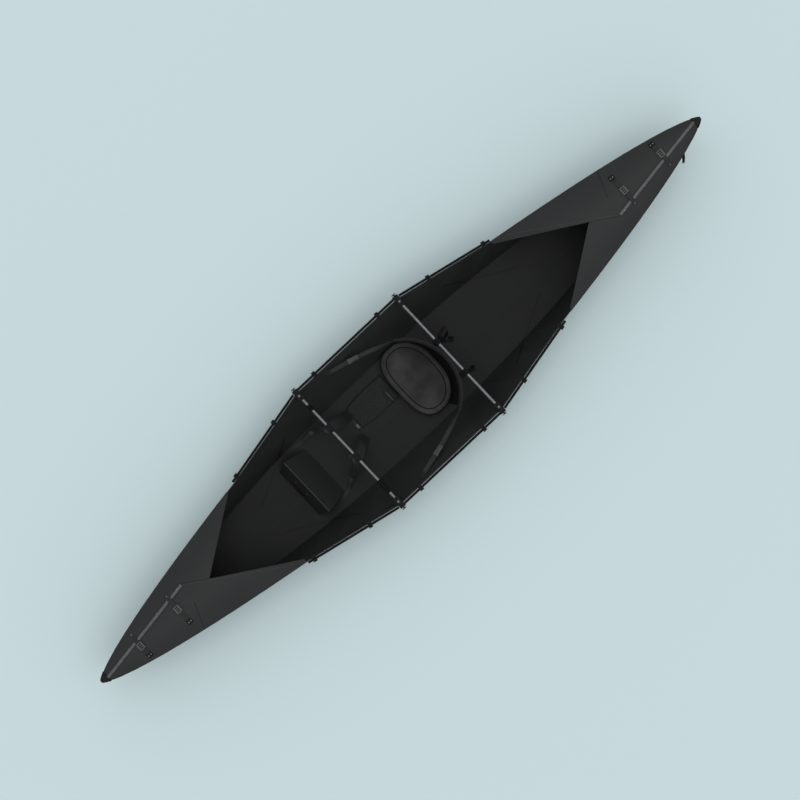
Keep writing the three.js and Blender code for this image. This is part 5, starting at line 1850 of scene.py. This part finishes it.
@dataclass
class FootRest:
    """The foot brace's pull, the pale strip along its ridge, and the rivets that hold the pull."""

    shop: Workshop
    pull_radius: float = 0.0033
    pull_outline: tuple[Pair, ...] = (
        (-1.0, 0.0), (-0.96, 0.5), (-0.7, 0.9), (0.0, 1.0), (0.7, 0.9), (0.96, 0.5), (1.0, 0.0),
    )
    pull_steps: int = 64
    pull_sides: int = 12
    grip_span: Pair = (0.36, 0.64)
    grip_cover: float = 0.0014
    grip_steps: int = 20
    grip_sides: int = 16
    leg_run: float = 0.39
    leg_rise: float = 0.92
    rivet_up: float = 0.012
    ridge_width: float = 0.0040
    ridge_thickness: float = 0.0010
    ridge_x: float = 0.7375
    ridge_inset: float = 0.003
    ridge_steps: int = 24
    rivet_radius: float = 0.0050
    rivet_height: float = 0.0020

    def pull(self) -> None:
        """Builds the pull's loop with a grip on its lowest run."""
        low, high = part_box("foot_brace_pull")
        radius = self.pull_radius
        lean = self.leg_run / self.leg_rise
        centre_y = (low.y + high.y) / 2
        half = (high.y - low.y) / 2 - radius
        drop = high.z - low.z - 2 * radius
        points = []
        for across, down in self.pull_outline:
            z = high.z - radius - drop * down
            x = low.x + radius + (high.z - radius - z) * lean
            points.append(Vector((x, centre_y + across * half, z)))
        curve = Spline(points)
        shape = rod(curve.path(self.pull_steps), radius, self.pull_sides, ALONG)
        self.shop.piece(
            "pull_loop", shape, "black_webbing", Slot.WEBBING, "foot_pull",
            ["foot_brace_pull"], ROUND_DEGREES,
        )
        spine = curve.path(self.grip_steps, *self.grip_span)
        grip = rod(spine, radius + self.grip_cover, self.grip_sides, ALONG)
        self.shop.piece("pull_grip", grip, "moulded", Slot.WEBBING, "foot_pull", (), ROUND_DEGREES)
        rivets = Shape()
        out = Vector((self.leg_rise, 0.0, self.leg_run))
        upward = Vector((-self.leg_run, 0.0, self.leg_rise))
        top = points[0]
        for across in (-1, 1):
            at = Vector((top.x, centre_y + across * half, top.z)) + upward * self.rivet_up
            rivets.add(dome(self.rivet_radius, self.rivet_height).moved(facing(at - out * radius, out)))
        self.shop.piece("pull_rivets", rivets, "rivet", Slot.KNOB, "foot_brace")

    def ridge(self) -> None:
        """Lays a pale strip where the sheet is bent over its ridge: partly the sheet's pale edge, partly a
        painted highlight where the ridge catches the light.
        """
        surface = Surface("foot_brace")
        low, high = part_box("foot_brace")
        spine = []
        for share in steps(self.ridge_steps):
            y = mix(low.y + self.ridge_inset, high.y - self.ridge_inset, share)
            z = surface.height(self.ridge_x, y) + self.ridge_thickness / 2
            spine.append(Vector((self.ridge_x, y, z)))
        shape = ribbon(spine, self.ridge_width, self.ridge_thickness, ALONG)
        self.shop.piece("brace_ridge", shape, "edge", Slot.SHEET, "foot_brace")

    def build(self) -> None:
        """Builds the foot rest's trim."""
        self.pull()
        self.ridge()


@dataclass
class HullTrim:
    """Small trim on the hull: bar sleeves, fold lines, knob screws, end cap rivets and the carry tab."""

    shop: Workshop
    sleeve_starts: tuple[tuple[Side, float], ...] = ((Side.PORT, 0.245), (Side.STARBOARD, 0.298))
    sleeve_outer: float = 0.340
    sleeve_radius: float = 0.0135
    sleeve_steps: int = 24
    sleeve_sides: int = 24
    sleeve_rounding_share: float = 0.06
    tab_width: float = 0.019
    tab_thickness: float = 0.0036
    tab_gap: float = 0.0008
    tab_slack: float = 0.0028
    tab_sink: float = 0.001
    tab_bend: tuple[Pair, ...] = ((0.0, 0.0), (0.35, 0.1), (0.7, 0.42), (1.0, 1.0))
    tab_steps: int = 28
    cap_rivet_places: tuple[tuple[End, float], ...] = ((End.BOW, 0.3), (End.STERN, 0.7))
    cap_rivet_levels: Pair = (0.35, 0.75)
    cap_rivet_from: float = 0.3
    rivet_radius: float = 0.0045
    rivet_height: float = 0.0018
    screw_radius: float = 0.0052
    screw_height: float = 0.0024
    fold_width: float = 0.008
    fold_thickness: float = 0.0006
    fold_reach: float = 1.9
    fold_steps: int = 120
    chine_radius: float = 0.0018

    def sleeves(self) -> None:
        """Slides a foam sleeve over each end of the bow crossbar."""

        def section_at(share: float) -> Section:
            """The sleeve's section, rounded over at both ends."""
            rounding = min(share, 1 - share, self.sleeve_rounding_share) / self.sleeve_rounding_share
            radius = mix(BAR_RADIUS, self.sleeve_radius, math.sin(rounding * math.pi / 2))
            return round_section(radius, self.sleeve_sides)

        for side, inner in self.sleeve_starts:
            spine = [
                Vector((BOW_BAR_X, side.value * mix(inner, self.sleeve_outer, share), BAR_HEIGHT))
                for share in steps(self.sleeve_steps)
            ]
            shape = sweep(spine, lambda share: UP, section_at)
            self.shop.piece(f"bar_sleeve_{side.word}", shape, "sleeve", Slot.CAP, HULL, (), SOFT_DEGREES)

    def tab(self) -> None:
        """Builds the folded webbing tab beside the stern."""
        low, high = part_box("carry_tab_stern")
        width, thickness = self.tab_width, self.tab_thickness
        run = high.x - low.x - width
        fall = high.z - low.z - thickness - 2 * self.tab_sink
        points = []
        for out, down in self.tab_bend:
            points.append(Vector((
                low.x + width / 2 + run * out,
                low.y + self.tab_gap + (high.y - low.y - self.tab_slack) * out,
                high.z - thickness / 2 - self.tab_sink - fall * down,
            )))
        shape = ribbon(Spline(points).path(self.tab_steps), width, thickness, ALONG)
        self.shop.piece("carry_loop", shape, "black_webbing", Slot.WEBBING, HULL, ["carry_tab_stern"])

    def cap_rivets(self) -> None:
        """Rivets each end cap to the sheet on both sides."""
        shape = Shape()
        head = dome(self.rivet_radius, self.rivet_height)
        for end, place_share in self.cap_rivet_places:
            name = f"end_cap_{end.word}"
            low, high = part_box(name)
            tree = felt(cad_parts[name].data)
            x = mix(low.x, high.x, place_share)
            for side in Side:
                for level in self.cap_rivet_levels:
                    start = Vector((x, side.value * self.cap_rivet_from, mix(low.z, high.z, level)))
                    place, normal, _, _ = tree.ray_cast(start, Vector((0.0, -side.value, 0.0)))
                    if place is not None:
                        out = normal if normal.y * side.value > 0 else -normal
                        shape.add(head.moved(facing(place, out)))
        self.shop.piece("cap_rivets", shape, "rivet", Slot.KNOB, HULL)

    def knob_screws(self) -> None:
        """Sets a bright screw in the middle of each clamping knob."""
        for end in End:
            for side in Side:
                low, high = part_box(f"bar_knob_{end.word}_{side.word}")
                at = Vector(((low.x + high.x) / 2, (low.y + high.y) / 2, high.z - self.screw_height / 4))
                shape = dome(self.screw_radius, self.screw_height).moved(facing(at, UP))
                self.shop.piece(
                    f"knob_screw_{end.word}_{side.word}", shape, "rivet", Slot.KNOB,
                    f"knob_{end.word}_{side.word}",
                )

    def keel_fold(self) -> None:
        """Presses the fold line between the two floor panels, where one sheet is bent along the keel."""
        floor = Surface(*FLOOR)
        spine = []
        for share in steps(self.fold_steps):
            x = mix(-self.fold_reach, self.fold_reach, share)
            high = max(floor.height(x, side.value * self.fold_width / 2) for side in Side)
            spine.append(Vector((x, 0.0, high)))
        shape = ribbon(spine, self.fold_width, self.fold_thickness)
        self.shop.piece("keel_fold", shape, "floor", Slot.SHEET, HULL)

    def chine_folds(self) -> None:
        """Presses the fold line along each chine, where the sheet turns up from floor to side."""
        for side in Side:
            shape = rod(outer_edge(f"floor_panel_{side.word}"), self.chine_radius)
            self.shop.piece(f"chine_fold_{side.word}", shape, "floor", Slot.SHEET, HULL, (), ROUND_DEGREES)

    def build(self) -> None:
        """Builds the trim."""
        self.knob_screws()
        self.keel_fold()
        self.chine_folds()
        self.sleeves()
        self.tab()
        self.cap_rivets()


@dataclass
class Studio:
    """The pale floor, the soft light and the camera straight above."""

    pixel: float = 0.005647
    pixels: int = 800
    lens_mm: float = 85.0
    sensor_mm: float = 36.0
    far_limit: float = 1000.0
    plane_height: float = 0.36
    aim: Pair = (0.004, -0.002)
    image_right: Triple = (-0.72804, 0.68554, 0.0)
    image_up: Triple = (-0.68554, -0.72804, 0.0)
    floor_size: float = 400.0
    floor_drop: float = 0.0006
    backdrop: int = 0xC7D9DC
    world_strength: float = 0.775
    key_strength: float = 0.715
    key_angle: float = 60.0
    key_from: Triple = (-0.12, 0.10, 1.0)

    def camera(self) -> None:
        """Sets the camera straight above, turned as in the photograph."""
        data = bpy.data.cameras.new("camera")
        data.lens = self.lens_mm
        data.sensor_width = self.sensor_mm
        data.sensor_fit = "HORIZONTAL"
        data.clip_end = self.far_limit
        width = self.pixel * self.pixels
        distance = width * self.lens_mm / self.sensor_mm
        right, up = Vector(self.image_right), Vector(self.image_up)
        turn = Matrix((right, up, right.cross(up))).transposed().to_4x4()
        camera = bpy.data.objects.new("camera", data)
        camera.matrix_world = Matrix.Translation((*self.aim, self.plane_height + distance)) @ turn
        bpy.context.scene.collection.objects.link(camera)
        bpy.context.scene.camera = camera

    def floor(self) -> None:
        """Lays the pale floor under the keel."""
        half = self.floor_size / 2
        corners = [(-half, -half), (half, -half), (half, half), (-half, half)]
        mesh = bpy.data.meshes.new("floor")
        mesh.from_pydata([(x, y, -self.floor_drop) for x, y in corners], [], [(0, 1, 2, 3)])
        shader = Shader("backdrop paper", gloss=0.0, roughness=0.9)
        shader.fix("Base Color", linear(self.backdrop))
        mesh.materials.append(shader.material)
        floor = bpy.data.objects.new("floor", mesh)
        bpy.context.scene.collection.objects.link(floor)

    def light(self) -> None:
        """Lights the scene from a plain sky and one broad soft lamp."""
        world = bpy.data.worlds.new("sky")
        world.use_nodes = True
        sky = world.node_tree.nodes["Background"]
        sky.inputs[0].default_value = (1.0, 1.0, 1.0, 1.0)
        sky.inputs[1].default_value = self.world_strength
        bpy.context.scene.world = world
        lamp = bpy.data.lights.new("key", "SUN")
        lamp.energy = self.key_strength
        lamp.angle = math.radians(self.key_angle)
        key = bpy.data.objects.new("key", lamp)
        key.rotation_euler = Vector(self.key_from).to_track_quat("Z", "Y").to_euler()
        bpy.context.scene.collection.objects.link(key)

    def build(self) -> None:
        """Builds the studio."""
        bpy.context.scene.view_settings.view_transform = "Standard"
        self.camera()
        self.floor()
        self.light()


def corners(bounds: tuple[Vector, Vector]) -> list[list[float]]:
    """A box as plain lists of numbers."""
    return [[float(value) for value in corner] for corner in bounds]


def main() -> None:
    """Builds the kayak's visible parts in order."""
    logging.basicConfig(level=logging.INFO, format="%(name)s: %(message)s")
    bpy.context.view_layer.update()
    Studio().build()
    shop = Workshop(finishes())
    Shell(shop).dress()
    for end in End:
        Deck(shop, end).build()
    SeatPad(shop).build()
    Backrest(shop).build()
    Harness(shop).build()
    FootRest(shop).build()
    HullTrim(shop).build()


if __name__ == "__main__":
    main()
